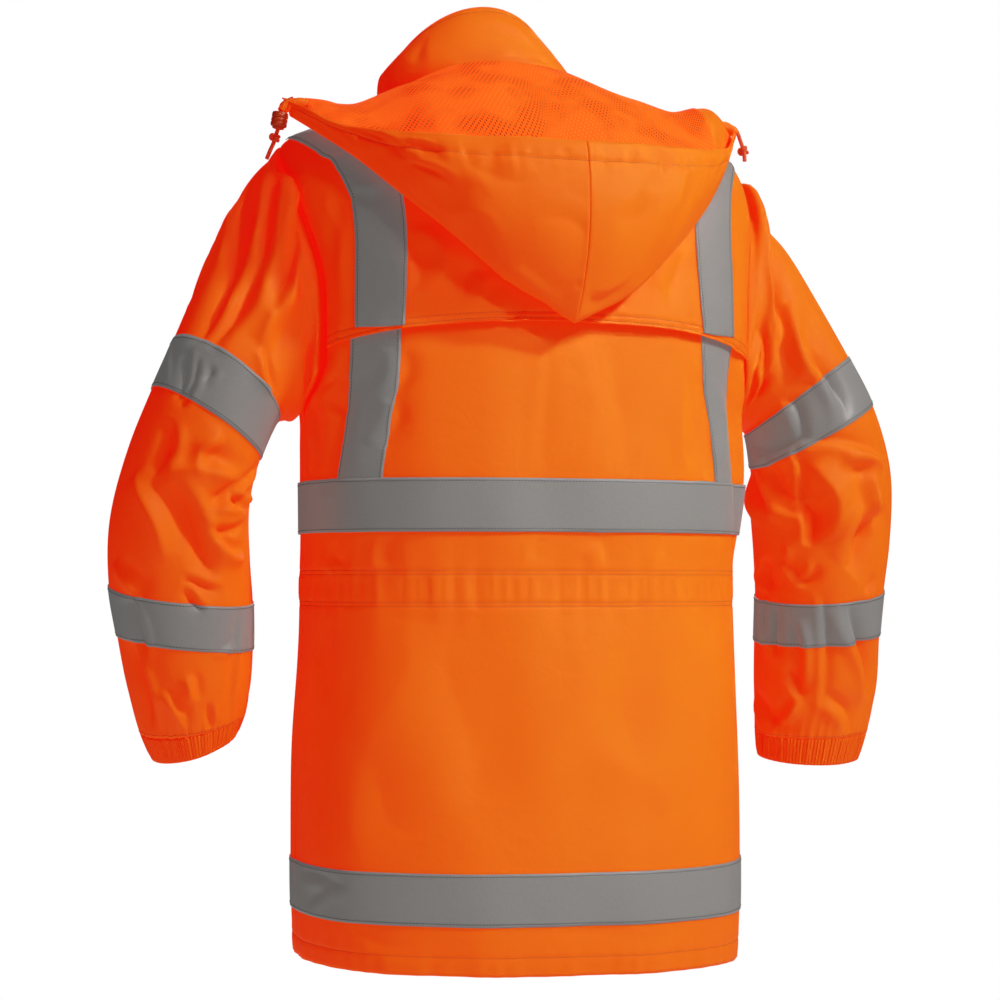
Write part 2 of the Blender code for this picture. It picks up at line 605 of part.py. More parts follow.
def add_boolean(obj, other, operation, cutters):
    """Joins or cuts with a helper, which goes with the cutters."""
    other.hide_render = True
    other.display_type = "WIRE"
    modifier = obj.modifiers.new(operation.title(), "BOOLEAN")
    modifier.operation = operation
    modifier.solver = "EXACT"
    modifier.object = other


def add_slider(looks, collection, cutters):
    """In the slider's own axes X is towards the wearer's left, Y is up the zip and Z is out of the chest."""
    lower = body_point(SLIDER_LEVEL + 0.3, 0, "front")
    upper = body_point(SLIDER_LEVEL - 0.3, 0, "front")
    up = (upper - lower) / np.linalg.norm(upper - lower)
    out = np.cross((1, 0, 0), up)
    out /= np.linalg.norm(out)
    place = Matrix(np.stack([np.cross(up, out), up, out], axis=1).tolist()).to_4x4()
    place.translation = body_point(SLIDER_LEVEL, 0, "front")
    boxes = []
    for number, row in enumerate(SLIDER_BOXES):
        name = "zip_slider" if number == 0 else "slider_piece_%d" % number
        box = add_box(name, row[:3], row[3:], cutters if number else collection)
        box.matrix_world = place
        boxes.append(box)
    boxes[0].data.materials.append(looks["metal"])
    for box in boxes[1:]:
        add_boolean(boxes[0], box, "UNION", cutters)
    axis = place @ Matrix.Translation((0, PULL_AXIS_HEIGHT, PULL_AXIS_DEPTH))
    tab_middle = (PULL_BAR - PULL_LENGTH) / 2
    tab = add_box("zip_pull", (PULL_WIDTH, PULL_LENGTH, PULL_BAR), (0, tab_middle, 0), collection)
    tab.data.materials.append(looks["metal"])
    window_middle = -(PULL_BAR + PULL_WINDOW[1]) / 2
    window = add_box("pull_window", (*PULL_WINDOW, 3 * PULL_BAR), (0, window_middle, 0), cutters)
    for obj in (tab, window):
        obj.matrix_world = axis
    add_boolean(tab, window, "DIFFERENCE", cutters)


def add_bead(bead, looks, collection):
    """What is tied or clipped on a cord, as a ring round it with a small clearance."""
    start, end = (np.array(CORD_ROUTES[bead["side"]][bead["after_point"] + step]) for step in (0, 1))
    bore = CORD_DIAMETER / 2 + CORD_CLEARANCE
    build = bmesh.new()
    outline = [(bore + share * (bead["radius"] - bore), 0, along * bead["length"] / 2)
               for share, along in bead["profile"]]
    points = [build.verts.new(point) for point in outline]
    edges = [build.edges.new((points[number - 1], points[number])) for number in range(len(points))]
    bmesh.ops.spin(build, geom=points + edges, cent=(0, 0, 0), axis=(0, 0, 1), angle=2 * math.pi,
                   steps=BEAD_SIDES, use_duplicate=False)
    bmesh.ops.remove_doubles(build, verts=build.verts, dist=0.00005)
    bmesh.ops.recalc_face_normals(build, faces=build.faces)
    mesh = bpy.data.meshes.new(bead["name"])
    build.to_mesh(mesh)
    build.free()
    obj = add_object(bead["name"], mesh, looks[bead["look"]], collection)
    turn = Vector((end - start).tolist()).to_track_quat("Z", "Y")
    obj.matrix_world = Matrix.LocRotScale((start + end) / 2, turn, None)


def add_cord(side, hand, looks, collection):
    """A free end of the hood's drawcord."""
    route = CORD_ROUTES[side]
    curve = bpy.data.curves.new("hood_cord_" + hand, "CURVE")
    curve.dimensions = "3D"
    curve.bevel_depth = CORD_DIAMETER / 2
    curve.bevel_resolution = 2
    curve.use_fill_caps = True
    places = np.linspace(0, len(route) - 1, 2 * len(route) - 1)
    points = [smooth_row(route, place) for place in places]
    spline = curve.splines.new("POLY")
    spline.points.add(len(points) - 1)
    for point, co in zip(spline.points, points):
        point.co = (*co, 1)
    add_object("hood_cord_" + hand, curve, looks["cord"], collection)


def main():
    for obj in list(bpy.data.objects):
        bpy.data.objects.remove(obj)
    collection = bpy.data.collections.new("hi_vis_work_jacket")
    cutters = bpy.data.collections.new("cutters")
    bpy.context.scene.collection.children.link(collection)
    bpy.context.scene.collection.children.link(cutters)
    looks = {
        "cloth": make_material("orange_cloth", ORANGE, 0.55),
        "mesh": make_material("orange_mesh", MESH_ORANGE, 0.6),
        "cord": make_material("orange_cord", ORANGE, 0.6),
        "plastic": make_material("orange_plastic", ORANGE, 0.45),
        "tape": make_material("reflective_tape", TAPE_GREY, 0.4),
        "metal": make_material("dark_zip", PULL_GREY, 0.4, 0.6),
    }
    add_body(looks, collection)
    add_band_tapes(looks, collection)
    add_braces(looks, collection)
    add_collar(looks, collection)
    add_zip(looks, collection)
    add_slider(looks, collection, cutters)
    for side, hand in SIDES:
        add_arm(side, hand, looks, collection)
        add_cord(side, hand, looks, collection)
    add_hood(looks, collection)
    for row in BEADS:
        add_bead(dict(zip(BEAD_COLUMNS, row)), looks, collection)


main()
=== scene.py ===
# %% [markdown]
# # A hi-vis work jacket, filled out as worn
# The CAD model is loaded first, as a fixed frame. It gives every piece its place and size, so the cloth made
# below lies on the same forms, in metres, with the origin between the shoulders.

# %% Load the frame
import math

import bmesh
import bpy
import numpy as np
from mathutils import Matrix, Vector


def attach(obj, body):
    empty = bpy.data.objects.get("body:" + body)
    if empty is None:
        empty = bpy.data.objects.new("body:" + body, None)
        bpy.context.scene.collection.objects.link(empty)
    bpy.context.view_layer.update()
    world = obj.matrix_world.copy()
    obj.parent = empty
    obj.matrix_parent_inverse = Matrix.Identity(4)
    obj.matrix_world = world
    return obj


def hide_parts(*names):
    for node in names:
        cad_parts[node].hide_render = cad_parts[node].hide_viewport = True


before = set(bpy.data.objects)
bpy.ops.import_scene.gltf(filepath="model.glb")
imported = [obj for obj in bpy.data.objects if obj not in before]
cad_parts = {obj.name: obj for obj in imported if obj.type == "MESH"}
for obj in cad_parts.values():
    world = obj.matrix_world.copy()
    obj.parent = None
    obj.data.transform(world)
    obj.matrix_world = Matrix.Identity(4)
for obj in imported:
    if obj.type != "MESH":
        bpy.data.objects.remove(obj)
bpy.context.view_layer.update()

# %% [markdown]
# The jacket is seen from behind and a little to the wearer's left, from level with its waist. A long lens
# keeps its sides upright. The lens is set before anything is modelled.

# %% Camera
VIEW_AZIMUTH = math.radians(163)
VIEW_DISTANCE = 2.3
EYE_HEIGHT = -0.48


def add_object(name, data):
    thing = bpy.data.objects.new(name, data)
    bpy.context.scene.collection.objects.link(thing)
    return thing


camera = add_object("camera", bpy.data.cameras.new("camera"))
camera.location = (math.sin(VIEW_AZIMUTH) * VIEW_DISTANCE, -math.cos(VIEW_AZIMUTH) * VIEW_DISTANCE, EYE_HEIGHT)
camera.rotation_euler = (math.pi / 2, 0, VIEW_AZIMUTH)
camera.data.lens = 82.8
camera.data.sensor_width = 36
camera.data.shift_x = -0.017
camera.data.shift_y = 0.080
camera.data.clip_end = 50
bpy.context.scene.camera = camera
print("camera at", tuple(round(v, 3) for v in camera.location))

# %% [markdown]
# A sewn garment is a set of flat panels bent round a body. Here each panel is a function of two distances in
# metres: how far round, and how far down. The body's form is a table of rings, as a dressmaker's dummy is
# measured. A ring is a rounded rectangle, its fullness being how square it is, and a Catmull-Rom curve runs
# smoothly from each ring to the next. The back and front insets are what the armhole cuts away.

# %% The body's rings
RING_COLUMNS = (
    "side_x", "side_y", "side_z", "back_y", "back_z", "front_y", "front_z", "fullness", "back_inset",
    "front_inset",
)
RINGS = {
    "collar_top": (0.080, -0.095, 0.052, -0.028, 0.098, -0.156, 0.006, 2.0, 0, 0),
    "collar_mid": (0.098, -0.086, 0.034, -0.008, 0.070, -0.160, -0.014, 2.0, 0, 0),
    "collar_low": (0.106, -0.078, 0.012, 0.006, 0.044, -0.160, -0.036, 2.0, 0, 0),
    "neck": (0.105, -0.073, -0.006, 0.010, 0.020, -0.158, -0.055, 2.0, 0, 0),
    "shoulder_1": (0.140, -0.060, -0.014, 0.052, 0.005, -0.158, -0.085, 2.0, 0, 0),
    "shoulder_2": (0.175, -0.052, -0.024, 0.087, -0.020, -0.158, -0.112, 2.1, 0, 0),
    "shoulder_3": (0.205, -0.046, -0.036, 0.112, -0.048, -0.157, -0.138, 2.2, 0, 0),
    "shoulder_tip": (0.230, -0.040, -0.053, 0.129, -0.080, -0.157, -0.165, 2.3, 0, 0),
    "arm_1": (0.240, -0.030, -0.088, 0.141, -0.115, -0.157, -0.192, 2.4, 0.045, 0.040),
    "arm_2": (0.242, -0.020, -0.132, 0.149, -0.152, -0.157, -0.215, 2.4, 0.078, 0.070),
    "arm_3": (0.240, -0.010, -0.192, 0.154, -0.195, -0.157, -0.240, 2.4, 0.092, 0.082),
    "yoke_hem": (0.234, 0.000, -0.274, 0.158, -0.240, -0.156, -0.274, 2.4, 0.082, 0.074),
    "arm_5": (0.226, 0.008, -0.298, 0.160, -0.284, -0.154, -0.298, 2.4, 0.056, 0.050),
    "armpit": (0.219, 0.014, -0.319, 0.161, -0.319, -0.152, -0.319, 2.4, 0, 0),
    "chest": (0.219, 0.020, -0.352, 0.161, -0.352, -0.150, -0.352, 2.4, 0, 0),
    "waist_tape_top": (0.219, 0.022, -0.385, 0.160, -0.385, -0.149, -0.385, 2.4, 0, 0),
    "waist_tape_bottom": (0.217, 0.014, -0.435, 0.157, -0.435, -0.149, -0.435, 2.4, 0, 0),
    "casing_top": (0.216, 0.002, -0.475, 0.153, -0.475, -0.150, -0.475, 2.4, 0, 0),
    "casing_bottom": (0.216, 0.000, -0.502, 0.153, -0.502, -0.151, -0.502, 2.4, 0, 0),
    "skirt": (0.223, 0.000, -0.640, 0.157, -0.640, -0.156, -0.640, 2.4, 0, 0),
    "hem_tape_top": (0.225, 0.000, -0.754, 0.158, -0.754, -0.157, -0.754, 2.4, 0, 0),
    "hem_tape_bottom": (0.225, 0.000, -0.804, 0.157, -0.804, -0.156, -0.804, 2.4, 0, 0),
    "hem": (0.222, 0.000, -0.851, 0.154, -0.851, -0.153, -0.851, 2.4, 0, 0),
}
LEVELS = {name: level for level, name in enumerate(RINGS)}
SEAM_GAP = 0.0004
NECK_LEAN = 0.022
HEM_TILT = 0.027
RIGHT_BRACE_SHIFT = 0.010
YOKE_STAND = 0.0105
EDGE_RISE = 0.003
TAPE_WIDTH = 0.050
ROWS_PER_RING = 24
QUARTER_POINTS = 97
QUARTER_STEPS = 400
RING_SAG = 1.5


def smooth_rows(rows, positions):
    """Rows of a table read at positions between its rows, on Catmull-Rom curves."""
    rows = np.asarray(rows, float)
    last = len(rows) - 1
    start = np.clip(np.floor(positions).astype(int), 0, last - 1)
    t = (positions - start)[:, None]
    before, here, there, after = (rows[np.clip(start + step, 0, last)] for step in (-1, 0, 1, 2))
    return 0.5 * (
        2 * here + (there - before) * t + (2 * before - 5 * here + 4 * there - after) * t**2
        + (3 * (here - there) + after - before) * t**3
    )


def read_table(table, row, column):
    """A grid of points read between its rows and its columns."""
    above, left = np.floor(row).astype(int), np.minimum(np.floor(column).astype(int), table.shape[1] - 2)
    f, g = (row - above)[..., None], (column - left)[..., None]
    return (
        table[above, left] * (1 - f) * (1 - g) + table[above + 1, left] * f * (1 - g)
        + table[above, left + 1] * (1 - f) * g + table[above + 1, left + 1] * f * g
    )


def ramp(value, start, end):
    """0 before the start, 1 past the end and even between them. The end may be the lower one."""
    return np.clip((value - start) / (end - start), 0, 1)


ring_levels = np.linspace(0, len(RINGS) - 1, (len(RINGS) - 1) * ROWS_PER_RING + 1)
ring_rows = smooth_rows(list(RINGS.values()), ring_levels)
ring = {name: ring_rows[:, column] for column, name in enumerate(RING_COLUMNS)}


def quarter_table(face):
    """A quarter of every ring, from the centre line to the side, as evenly spaced points, with its length."""
    table, lengths = [], []
    for row in range(len(ring_levels)):
        turn = np.linspace(0, math.pi / 2, QUARTER_STEPS)
        across = np.sin(turn) ** (2 / ring["fullness"][row])
        along = np.cos(turn) ** (2 / ring["fullness"][row])
        side_y, side_z = ring["side_y"][row], ring["side_z"][row]
        points = np.stack([
            ring["side_x"][row] * across,
            side_y + (ring[face + "_y"][row] - side_y) * along,
            side_z + (ring[face + "_z"][row] - side_z) * along**RING_SAG,
        ], axis=1)
        far = np.concatenate([[0], np.cumsum(np.linalg.norm(np.diff(points, axis=0), axis=1))])
        even = np.linspace(0, far[-1], QUARTER_POINTS)
        table.append([np.interp(even, far, points[:, axis]) for axis in range(3)])
        lengths.append(far[-1])
    return np.array(table).transpose(0, 2, 1), np.array(lengths)


quarters = {face: quarter_table(face) for face in ("back", "front")}
print("chest round", round(2 * sum(quarters[f][1][LEVELS["chest"] * ROWS_PER_RING] for f in quarters), 3), "m")

# %% [markdown]
# Distances down are measured from the collar's top edge, as the mean of the back. They turn a ring's number
# into metres, and back again, so that creases and weave keep one scale everywhere.

# %% Distances down the body
back_steps = np.linalg.norm(np.diff(quarters["back"][0], axis=0), axis=2).mean(axis=1)
down_at_row = np.concatenate([[0], np.cumsum(back_steps)])


def down_of(level):
    return np.interp(level, ring_levels, down_at_row)


def level_of(down):
    return np.interp(down, down_at_row, ring_levels)


def edge_of(level, face):
    """How far a panel reaches round from its centre line: to the shoulder, armhole or side seam."""
    length = np.interp(level, ring_levels, quarters[face][1])
    inset = np.interp(level, ring_levels, np.maximum(ring[face + "_inset"], 0))
    return length - inset - SEAM_GAP / 2


DOWN = {name: float(down_of(level)) for name, level in LEVELS.items()}
print("down to the hem", round(DOWN["hem"], 3), "m")

# %% [markdown]
# Creases are what makes cloth look like cloth. Each is a ridge or trough along a short line that is given in a
# table. It wanders a little, fades out at both ends, is steeper on one side than on the other, and has a
# fainter dip beside it, as real folds have. Low waves fill the rest.

# %% Creases: their shape
CREASE_COLUMNS = ("round_0", "down_0", "round_1", "down_1", "half_width", "height")
CREASE_WANDER, WANDER_TURN, WANDER_START = 0.5, 5.0, 40
STEEP_SIDE, GENTLE_SIDE = 1.6, 0.75
CREASE_CREST = 1.3
DIP_DEPTH, DIP_PLACE, DIP_NARROWNESS = 0.45, 1.7, 1.5
END_FADE = 0.7


def crease_height(rows, across, down, period=None):
    """The sum of the creases in a table at each point, in metres. The tables are in millimetres."""
    total = np.zeros(np.shape(across))
    for row in rows:
        crease = dict(zip(CREASE_COLUMNS, np.array(row) / 1000))
        run = np.array([crease["round_1"] - crease["round_0"], crease["down_1"] - crease["down_0"]])
        length = np.hypot(*run)
        run = run / length
        x, y = across - crease["round_0"], down - crease["down_0"]
        if period:
            x = (x - run[0] * length / 2 + period / 2) % period - period / 2 + run[0] * length / 2
        share = (x * run[0] + y * run[1]) / length
        off = (x * run[1] - y * run[0]) / crease["half_width"]
        off = off + CREASE_WANDER * np.sin(share * WANDER_TURN + crease["round_0"] * WANDER_START)
        fade = np.clip(np.sin(np.pi * np.clip(share, 0, 1)), 0, 1) ** END_FADE
        steep = np.abs(off) * np.where(off > 0, STEEP_SIDE, GENTLE_SIDE)
        dip = DIP_DEPTH * np.exp(-DIP_NARROWNESS * (off - DIP_PLACE) ** 2)
        total += crease["height"] * fade * (np.exp(-(steep**CREASE_CREST)) - dip)
    return total


WAVES = 7
WAVE_LENGTHS = (0.06, 0.2)
WAVE_TILT = 0.6
WAVES_TOGETHER = 2.5


def low_waves(across, down, seed, size=0.0011):
    """Slow uneven swells: several waves of random length and tilt, laid over each other."""
    random = np.random.default_rng(seed)
    total = np.zeros(np.shape(across))
    for _ in range(WAVES):
        length = random.uniform(*WAVE_LENGTHS)
        angle = random.uniform(-WAVE_TILT, WAVE_TILT)
        phase = random.uniform(0, 2 * np.pi)
        total += np.sin((across * np.cos(angle) + down * np.sin(angle)) * 2 * np.pi / length + phase)
    return total * size / WAVES_TOGETHER


SLOW_DRIFT, SLOW_TIMES = 0.9, 5.3
QUICK_DRIFT, QUICK_TIMES = 0.6, 2.7
DRIFT = 1.6


def ripple(across, pitch, seed):
    """Uneven gathers side by side, about a pitch apart, from -1 to 1. Two slower waves make them drift."""
    turns = across * 2 * np.pi / pitch
    drift = SLOW_DRIFT * np.sin(turns / SLOW_TIMES + seed) + QUICK_DRIFT * np.sin(turns / QUICK_TIMES)
    return np.sin(turns + DRIFT * drift + seed)


def as_grids(across, down):
    return np.broadcast_arrays(np.asarray(across, float), np.asarray(down, float))


def band(down, middle, half_width):
    """1 on a line, falling off smoothly to both sides of it."""
    return np.exp(-(((down - middle) / half_width) ** 2))


# %% [markdown]
# Two tables place them on the body. The broad folds are in metres and push the whole wall in or out, as in
# the CAD model. The creases are in millimetres and lie on the cloth only. Those of the back and the yoke are
# as seen, and the fronts have similar ones.

# %% Creases: where they lie on the body
FOLD_COLUMNS = ("arc_top", "arc_bottom", "z_top", "z_bottom", "half_width", "height")
FOLDS = (
    (-0.205, -0.232, -0.250, -0.470, 0.016, -0.012),
    (-0.232, -0.262, -0.270, -0.470, 0.018, 0.006),
    (0.215, 0.240, -0.290, -0.400, 0.016, -0.007),
    (0.110, 0.090, -0.510, -0.840, 0.030, -0.003),
    (-0.120, -0.100, -0.510, -0.840, 0.034, 0.003),
    (0.215, 0.205, -0.500, -0.840, 0.026, 0.004),
)
BODY_CREASES = {
    "back": (
        (151, 447, 162, 496, 10, -5), (159, 491, 170, 538, 9, -4.4),
        (220, 438, 273, 480, 7, 3.5), (215, 460, 270, 485, 6, -3),
        (241, 480, 223, 507, 7, -3.5), (265, 482, 262, 554, 8, -4),
        (22, 440, 20, 560, 7, -1.4), (-51, 449, -54, 558, 12, -1.8),
        (-17, 447, -22, 556, 10, 1.2), (178, 621, 167, 645, 7, -3.5),
        (-25, 616, -46, 643, 9, -3.6), (30, 618, 25, 641, 6, -2.4),
        (236, 625, 217, 652, 8, -4), (-99, 621, -122, 641, 10, -3.2),
        (-130, 460, -149, 563, 10, -5), (-170, 465, -178, 552, 9, 4.5),
        (236, 696, 254, 774, 14, -3.6), (157, 696, 175, 828, 30, 4),
        (91, 687, 112, 863, 34, -4.4), (4, 696, 1, 866, 36, 4),
        (-65, 716, -75, 904, 30, -3.6), (-151, 699, -170, 872, 24, 4),
        (43, 772, 93, 892, 24, -2.8), (196, 839, 138, 901, 22, -3.2),
        (-33, 810, -117, 897, 24, 2.8), (291, 941, 207, 948, 6, -2.8),
        (275, 970, 207, 946, 6, -2.4), (207, 990, 138, 1006, 10, -2.4),
        (7, 995, -96, 990, 12, -2),
    ),
    "yoke": (
        (133, 322, 112, 380, 12, 5.4), (106, 399, 82, 365, 10, -4.5),
        (150, 348, 133, 391, 10, -3.2), (212, 282, 210, 330, 7, -3.2),
        (206, 292, 212, 419, 8, 2.9), (-103, 324, -82, 379, 10, 4.3),
        (-118, 337, -103, 407, 8, -2.9), (240, 216, 212, 248, 6, -2.2),
        (212, 233, 178, 249, 6, -2.7), (229, 256, 191, 237, 6, -2.7),
        (199, 292, 167, 280, 7, 2.9), (195, 287, 199, 316, 7, -2.2),
        (65, 420, 48, 429, 8, -3.6), (-27, 417, -44, 400, 8, -3.6),
    ),
    "front": (
        (150, 300, 80, 420, 12, -4), (190, 340, 110, 420, 10, 3),
        (-150, 290, -90, 400, 12, -4), (-200, 350, -120, 440, 10, 3),
        (100, 480, 70, 560, 10, -2.5), (-120, 470, -80, 560, 10, -2.5),
        (60, 620, 90, 820, 26, 2.8), (-70, 600, -100, 830, 26, 2.8),
        (160, 620, 150, 800, 20, -2.6), (-180, 640, -160, 820, 20, -2.6),
        (200, 220, 130, 260, 10, -3), (-210, 210, -140, 260, 10, -3),
        (40, 160, 100, 230, 12, -2), (-40, 170, -110, 240, 12, -2),
    ),
}
print(sum(len(rows) for rows in BODY_CREASES.values()), "creases on the body")

# %% [markdown]
# The waist has a casing: two double rows of stitching with a drawcord inside, which puckers the cloth between
# them. The hem is turned up and stitched once. Such lines sink a little into the cloth, so the grids get
# extra rows beside them.

# %% Sewn lines on the body
CASING_LINES = (-0.004, 0.000, 0.026, 0.030)
casing_downs = [DOWN["casing_top"] + line for line in CASING_LINES]
hem_stitch_down = DOWN["hem"] - 0.018
yoke_stitch_downs = (DOWN["yoke_hem"] - 0.003, DOWN["yoke_hem"] - 0.009)
casing_middle = (casing_downs[1] + casing_downs[2]) / 2
SINK = 0.0007
SINK_HALF_WIDTH = 0.0016
PUCKER_COLUMNS = ("middle", "height", "pitch", "seed", "reach")
YOKE_PUCKERS = ((DOWN["yoke_hem"] - 0.006, 0.0005, 0.021, 0.3, 0.012),)
BODY_PUCKERS = (
    (casing_middle, 0.0013, 0.0135, 1.0, 0.013),
    (casing_middle, 0.0008, 0.031, 2.0, 0.034),
    (DOWN["hem"] - 0.010, 0.0007, 0.024, 3.0, 0.016),
)


def sewn_height(face, across, down):
    """The grooves of the sewn lines and the puckers beside them."""
    total = np.zeros(np.shape(across))
    for line in yoke_stitch_downs if face == "yoke" else casing_downs + [hem_stitch_down]:
        total -= SINK * band(down, line, SINK_HALF_WIDTH)
    for row in YOKE_PUCKERS if face == "yoke" else BODY_PUCKERS:
        pucker = dict(zip(PUCKER_COLUMNS, row))
        gathers = pucker["height"] * ripple(across, pucker["pitch"], pucker["seed"])
        total += gathers * band(down, pucker["middle"], pucker["reach"])
    return total


# %% [markdown]
# Between a sleeve and the back the cloth falls into a deep valley along the armhole's seam. Both sides of the
# seam sink by the same amount, so that it stays closed.

# %% Valley at the armhole
VALLEY_DEPTHS = {1: 0.007, -1: 0.0025}
VALLEY_HALF_WIDTH = 0.011
VALLEY_LOWNESS = 1.3
UNDER_YOKE_DEPTH = 0.004


def valley(from_seam, level, side):
    """How far the cloth sinks, by its distance from the armhole's seam and how far down the armhole it is."""
    share = ramp(level, LEVELS["shoulder_tip"], LEVELS["armpit"])
    depth = np.where(np.asarray(side) > 0, VALLEY_DEPTHS[1], VALLEY_DEPTHS[-1])
    return -depth * band(from_seam, 0, VALLEY_HALF_WIDTH) * np.sin(np.pi * share**VALLEY_LOWNESS)


# %% [markdown]
# The body's surface comes in two steps. The first reads the rings. The second moves each point along the
# cloth's own normal by its creases, and further out by a lift where tape or thread lies on top.

# %% The body's surface
def ring_point(face, across, down):
    """A point of the plain rings, from a signed distance round from the centre line and a distance down."""
    table, lengths = quarters["front" if face == "front" else "back"]
    level = level_of(down)
    row = np.clip(level * ROWS_PER_RING, 0, len(ring_levels) - 1.001)
    length = np.interp(level, ring_levels, lengths)
    point = read_table(table, row, np.clip(np.abs(across) / length, 0, 1) * (QUARTER_POINTS - 1.001))
    past_side = np.maximum(np.abs(across) - length, 0)
    x = point[..., 0] * np.where(across < 0, -1, 1)
    y = point[..., 1] + past_side * (1 if face == "front" else -1)
    z = point[..., 2]
    if face != "front":
        for row_of_fold in FOLDS:
            fold = dict(zip(FOLD_COLUMNS, row_of_fold))
            share = (fold["z_top"] - z) / (fold["z_top"] - fold["z_bottom"])
            middle = fold["arc_top"] + share * (fold["arc_bottom"] - fold["arc_top"])
            height = fold["height"] * np.sin(np.pi * np.clip(share, 0, 1)) ** END_FADE
            height = height * band(across, middle, fold["half_width"]) * (level > LEVELS["arm_2"])
            far = np.maximum(np.hypot(x, y), 0.02)
            x, y = x * (1 + height / far), y * (1 + height / far)
    lean = NECK_LEAN * ramp(level, LEVELS["shoulder_2"], LEVELS["collar_mid"])
    skirt = ramp(level, LEVELS["casing_bottom"], LEVELS["hem"])
    return np.stack([x + lean, y, z + HEM_TILT * skirt * x], axis=-1)


def normals_of(surface, across, down, turn, step=0.0012):
    """Outward unit normals. turn is 1 where distances round grow anticlockwise from above, and -1 where not."""
    downwards = surface(across, down + step) - surface(across, down - step)
    roundwards = (surface(across + step, down) - surface(across - step, down)) * turn
    normal = np.cross(downwards, roundwards)
    return normal / np.maximum(np.linalg.norm(normal, axis=-1, keepdims=True), 1e-12)


def yoke_rise(across, down):
    """The yoke lies on the shoulders, then stands further off the back towards the middle of its hem."""
    level = level_of(down)
    fall = ramp(level, LEVELS["shoulder_3"], LEVELS["yoke_hem"])
    near_edge = np.clip(np.abs(across) / edge_of(level, "back"), 0, 1)
    middle = YOKE_STAND * np.cos(near_edge * np.pi / 2) ** 0.5
    return np.maximum(EDGE_RISE * np.clip(fall * 3, 0, 1), middle * fall)


EDGE_CALM = 0.25
EDGE_CALM_REACH = 0.02
COARSE_STEP = 0.004


def body_surface(face):
    """A function of distances round and down. Creases and waves calm down towards the panel's edges."""
    turn = 1 if face == "front" else -1
    edge_face = "front" if face == "front" else "back"

    def plain(across, down):
        return ring_point(face, across, down)

    def surface(across, down):
        across, down = as_grids(across, down)
        level = level_of(down)
        from_edge = edge_of(level, edge_face) - np.abs(across)
        normal = normals_of(plain, across, down, turn, COARSE_STEP)
        height = crease_height(BODY_CREASES[face], across, down) + low_waves(across, down, len(face))
        height = height * (EDGE_CALM + (1 - EDGE_CALM) * ramp(from_edge, 0, EDGE_CALM_REACH))
        height = height + sewn_height(face, across, down)
        if face == "back":
            height = height - UNDER_YOKE_DEPTH * ramp(level, LEVELS["yoke_hem"], LEVELS["yoke_hem"] - 0.6)
        if face != "front":
            height = height + valley(from_edge, level, across)
        if face == "yoke":
            height = height + yoke_rise(across, down)
        return plain(across, down) + normal * height[..., None]

    surface.turn = turn
    return surface


BACK, YOKE, FRONT = (body_surface(face) for face in ("back", "yoke", "front"))
print("centre back at the chest", np.round(BACK(0.0, DOWN["chest"]), 3))

# %% [markdown]
# A material is a small tree of nodes. A few functions make the ones that repeat: sums, ramps between two
# colours, noise, and bumps laid over each other. Threads, gathers and holes are placed on the UV map called
# metres, which holds each piece's own distances, so that they keep their real size.

# %% Materials: helpers
def new_material(name, colour, roughness):
    material = bpy.data.materials.new(name)
    material.use_nodes = True
    shader = material.node_tree.nodes["Principled BSDF"]
    shader.inputs["Base Color"].default_value = (*colour, 1)
    shader.inputs["Roughness"].default_value = roughness
    return material, material.node_tree, shader


def set_glow(shader, colour, strength):
    shader.inputs["Emission Color"].default_value = (*colour, 1)
    shader.inputs["Emission Strength"].default_value = strength


def add_node(tree, kind, inputs=(), **settings):
    """A node with its settings and inputs; an input that is a socket gets linked."""
    node = tree.nodes.new(kind)
    for name, value in settings.items():
        setattr(node, name, value)
    for name, value in dict(inputs).items():
        if isinstance(value, bpy.types.NodeSocket):
            tree.links.new(value, node.inputs[name])
        else:
            node.inputs[name].default_value = value
    return node


def calculate(tree, operation, *values, kind="ShaderNodeMath", output=0):
    return add_node(tree, kind, dict(enumerate(values)), operation=operation).outputs[output]


def scaled(tree, value, **limits):
    """A value brought from one range to another, from 0 to 1 unless said."""
    named = {name.replace("_", " ").title(): limit for name, limit in limits.items()}
    return add_node(tree, "ShaderNodeMapRange", {"Value": value, **named}).outputs[0]


def mixed(tree, factor, first, second):
    """A colour between two others, each a socket or a colour."""
    mix = add_node(tree, "ShaderNodeMix", data_type="RGBA")
    tree.links.new(factor, mix.inputs["Factor"])
    for name, colour in (("A", first), ("B", second)):
        if isinstance(colour, bpy.types.NodeSocket):
            tree.links.new(colour, mix.inputs[name])
        else:
            mix.inputs[name].default_value = (*colour, 1)
    return mix.outputs["Result"]


def colour_between(tree, factor, first, second):
    """A factor from 0 to 1 turned into a colour from the first to the second."""
    ramp = add_node(tree, "ShaderNodeValToRGB", {"Fac": factor})
    ramp.color_ramp.elements[0].color = (*first, 1)
    ramp.color_ramp.elements[1].color = (*second, 1)
    return ramp.outputs["Color"]


WAVE_SCALE = 0.314


def waves_over(tree, place, scale, way, **settings):
    """Bands across a direction. A scale of WAVE_SCALE over a pitch sets them a pitch apart."""
    named = {name.replace("_", " ").title(): value for name, value in settings.items()}
    return add_node(
        tree, "ShaderNodeTexWave", {"Vector": place, "Scale": scale, **named}, bands_direction=way
    ).outputs["Fac"]


def metres(tree):
    return add_node(tree, "ShaderNodeUVMap", uv_map="metres").outputs[0]


def weave_height(tree, pitch):
    """Crossed threads: a height from 0 to 1 on the piece's own distances."""
    waves = [waves_over(tree, metres(tree), WAVE_SCALE / pitch, way) for way in "XY"]
    return calculate(tree, "MAXIMUM", *waves)


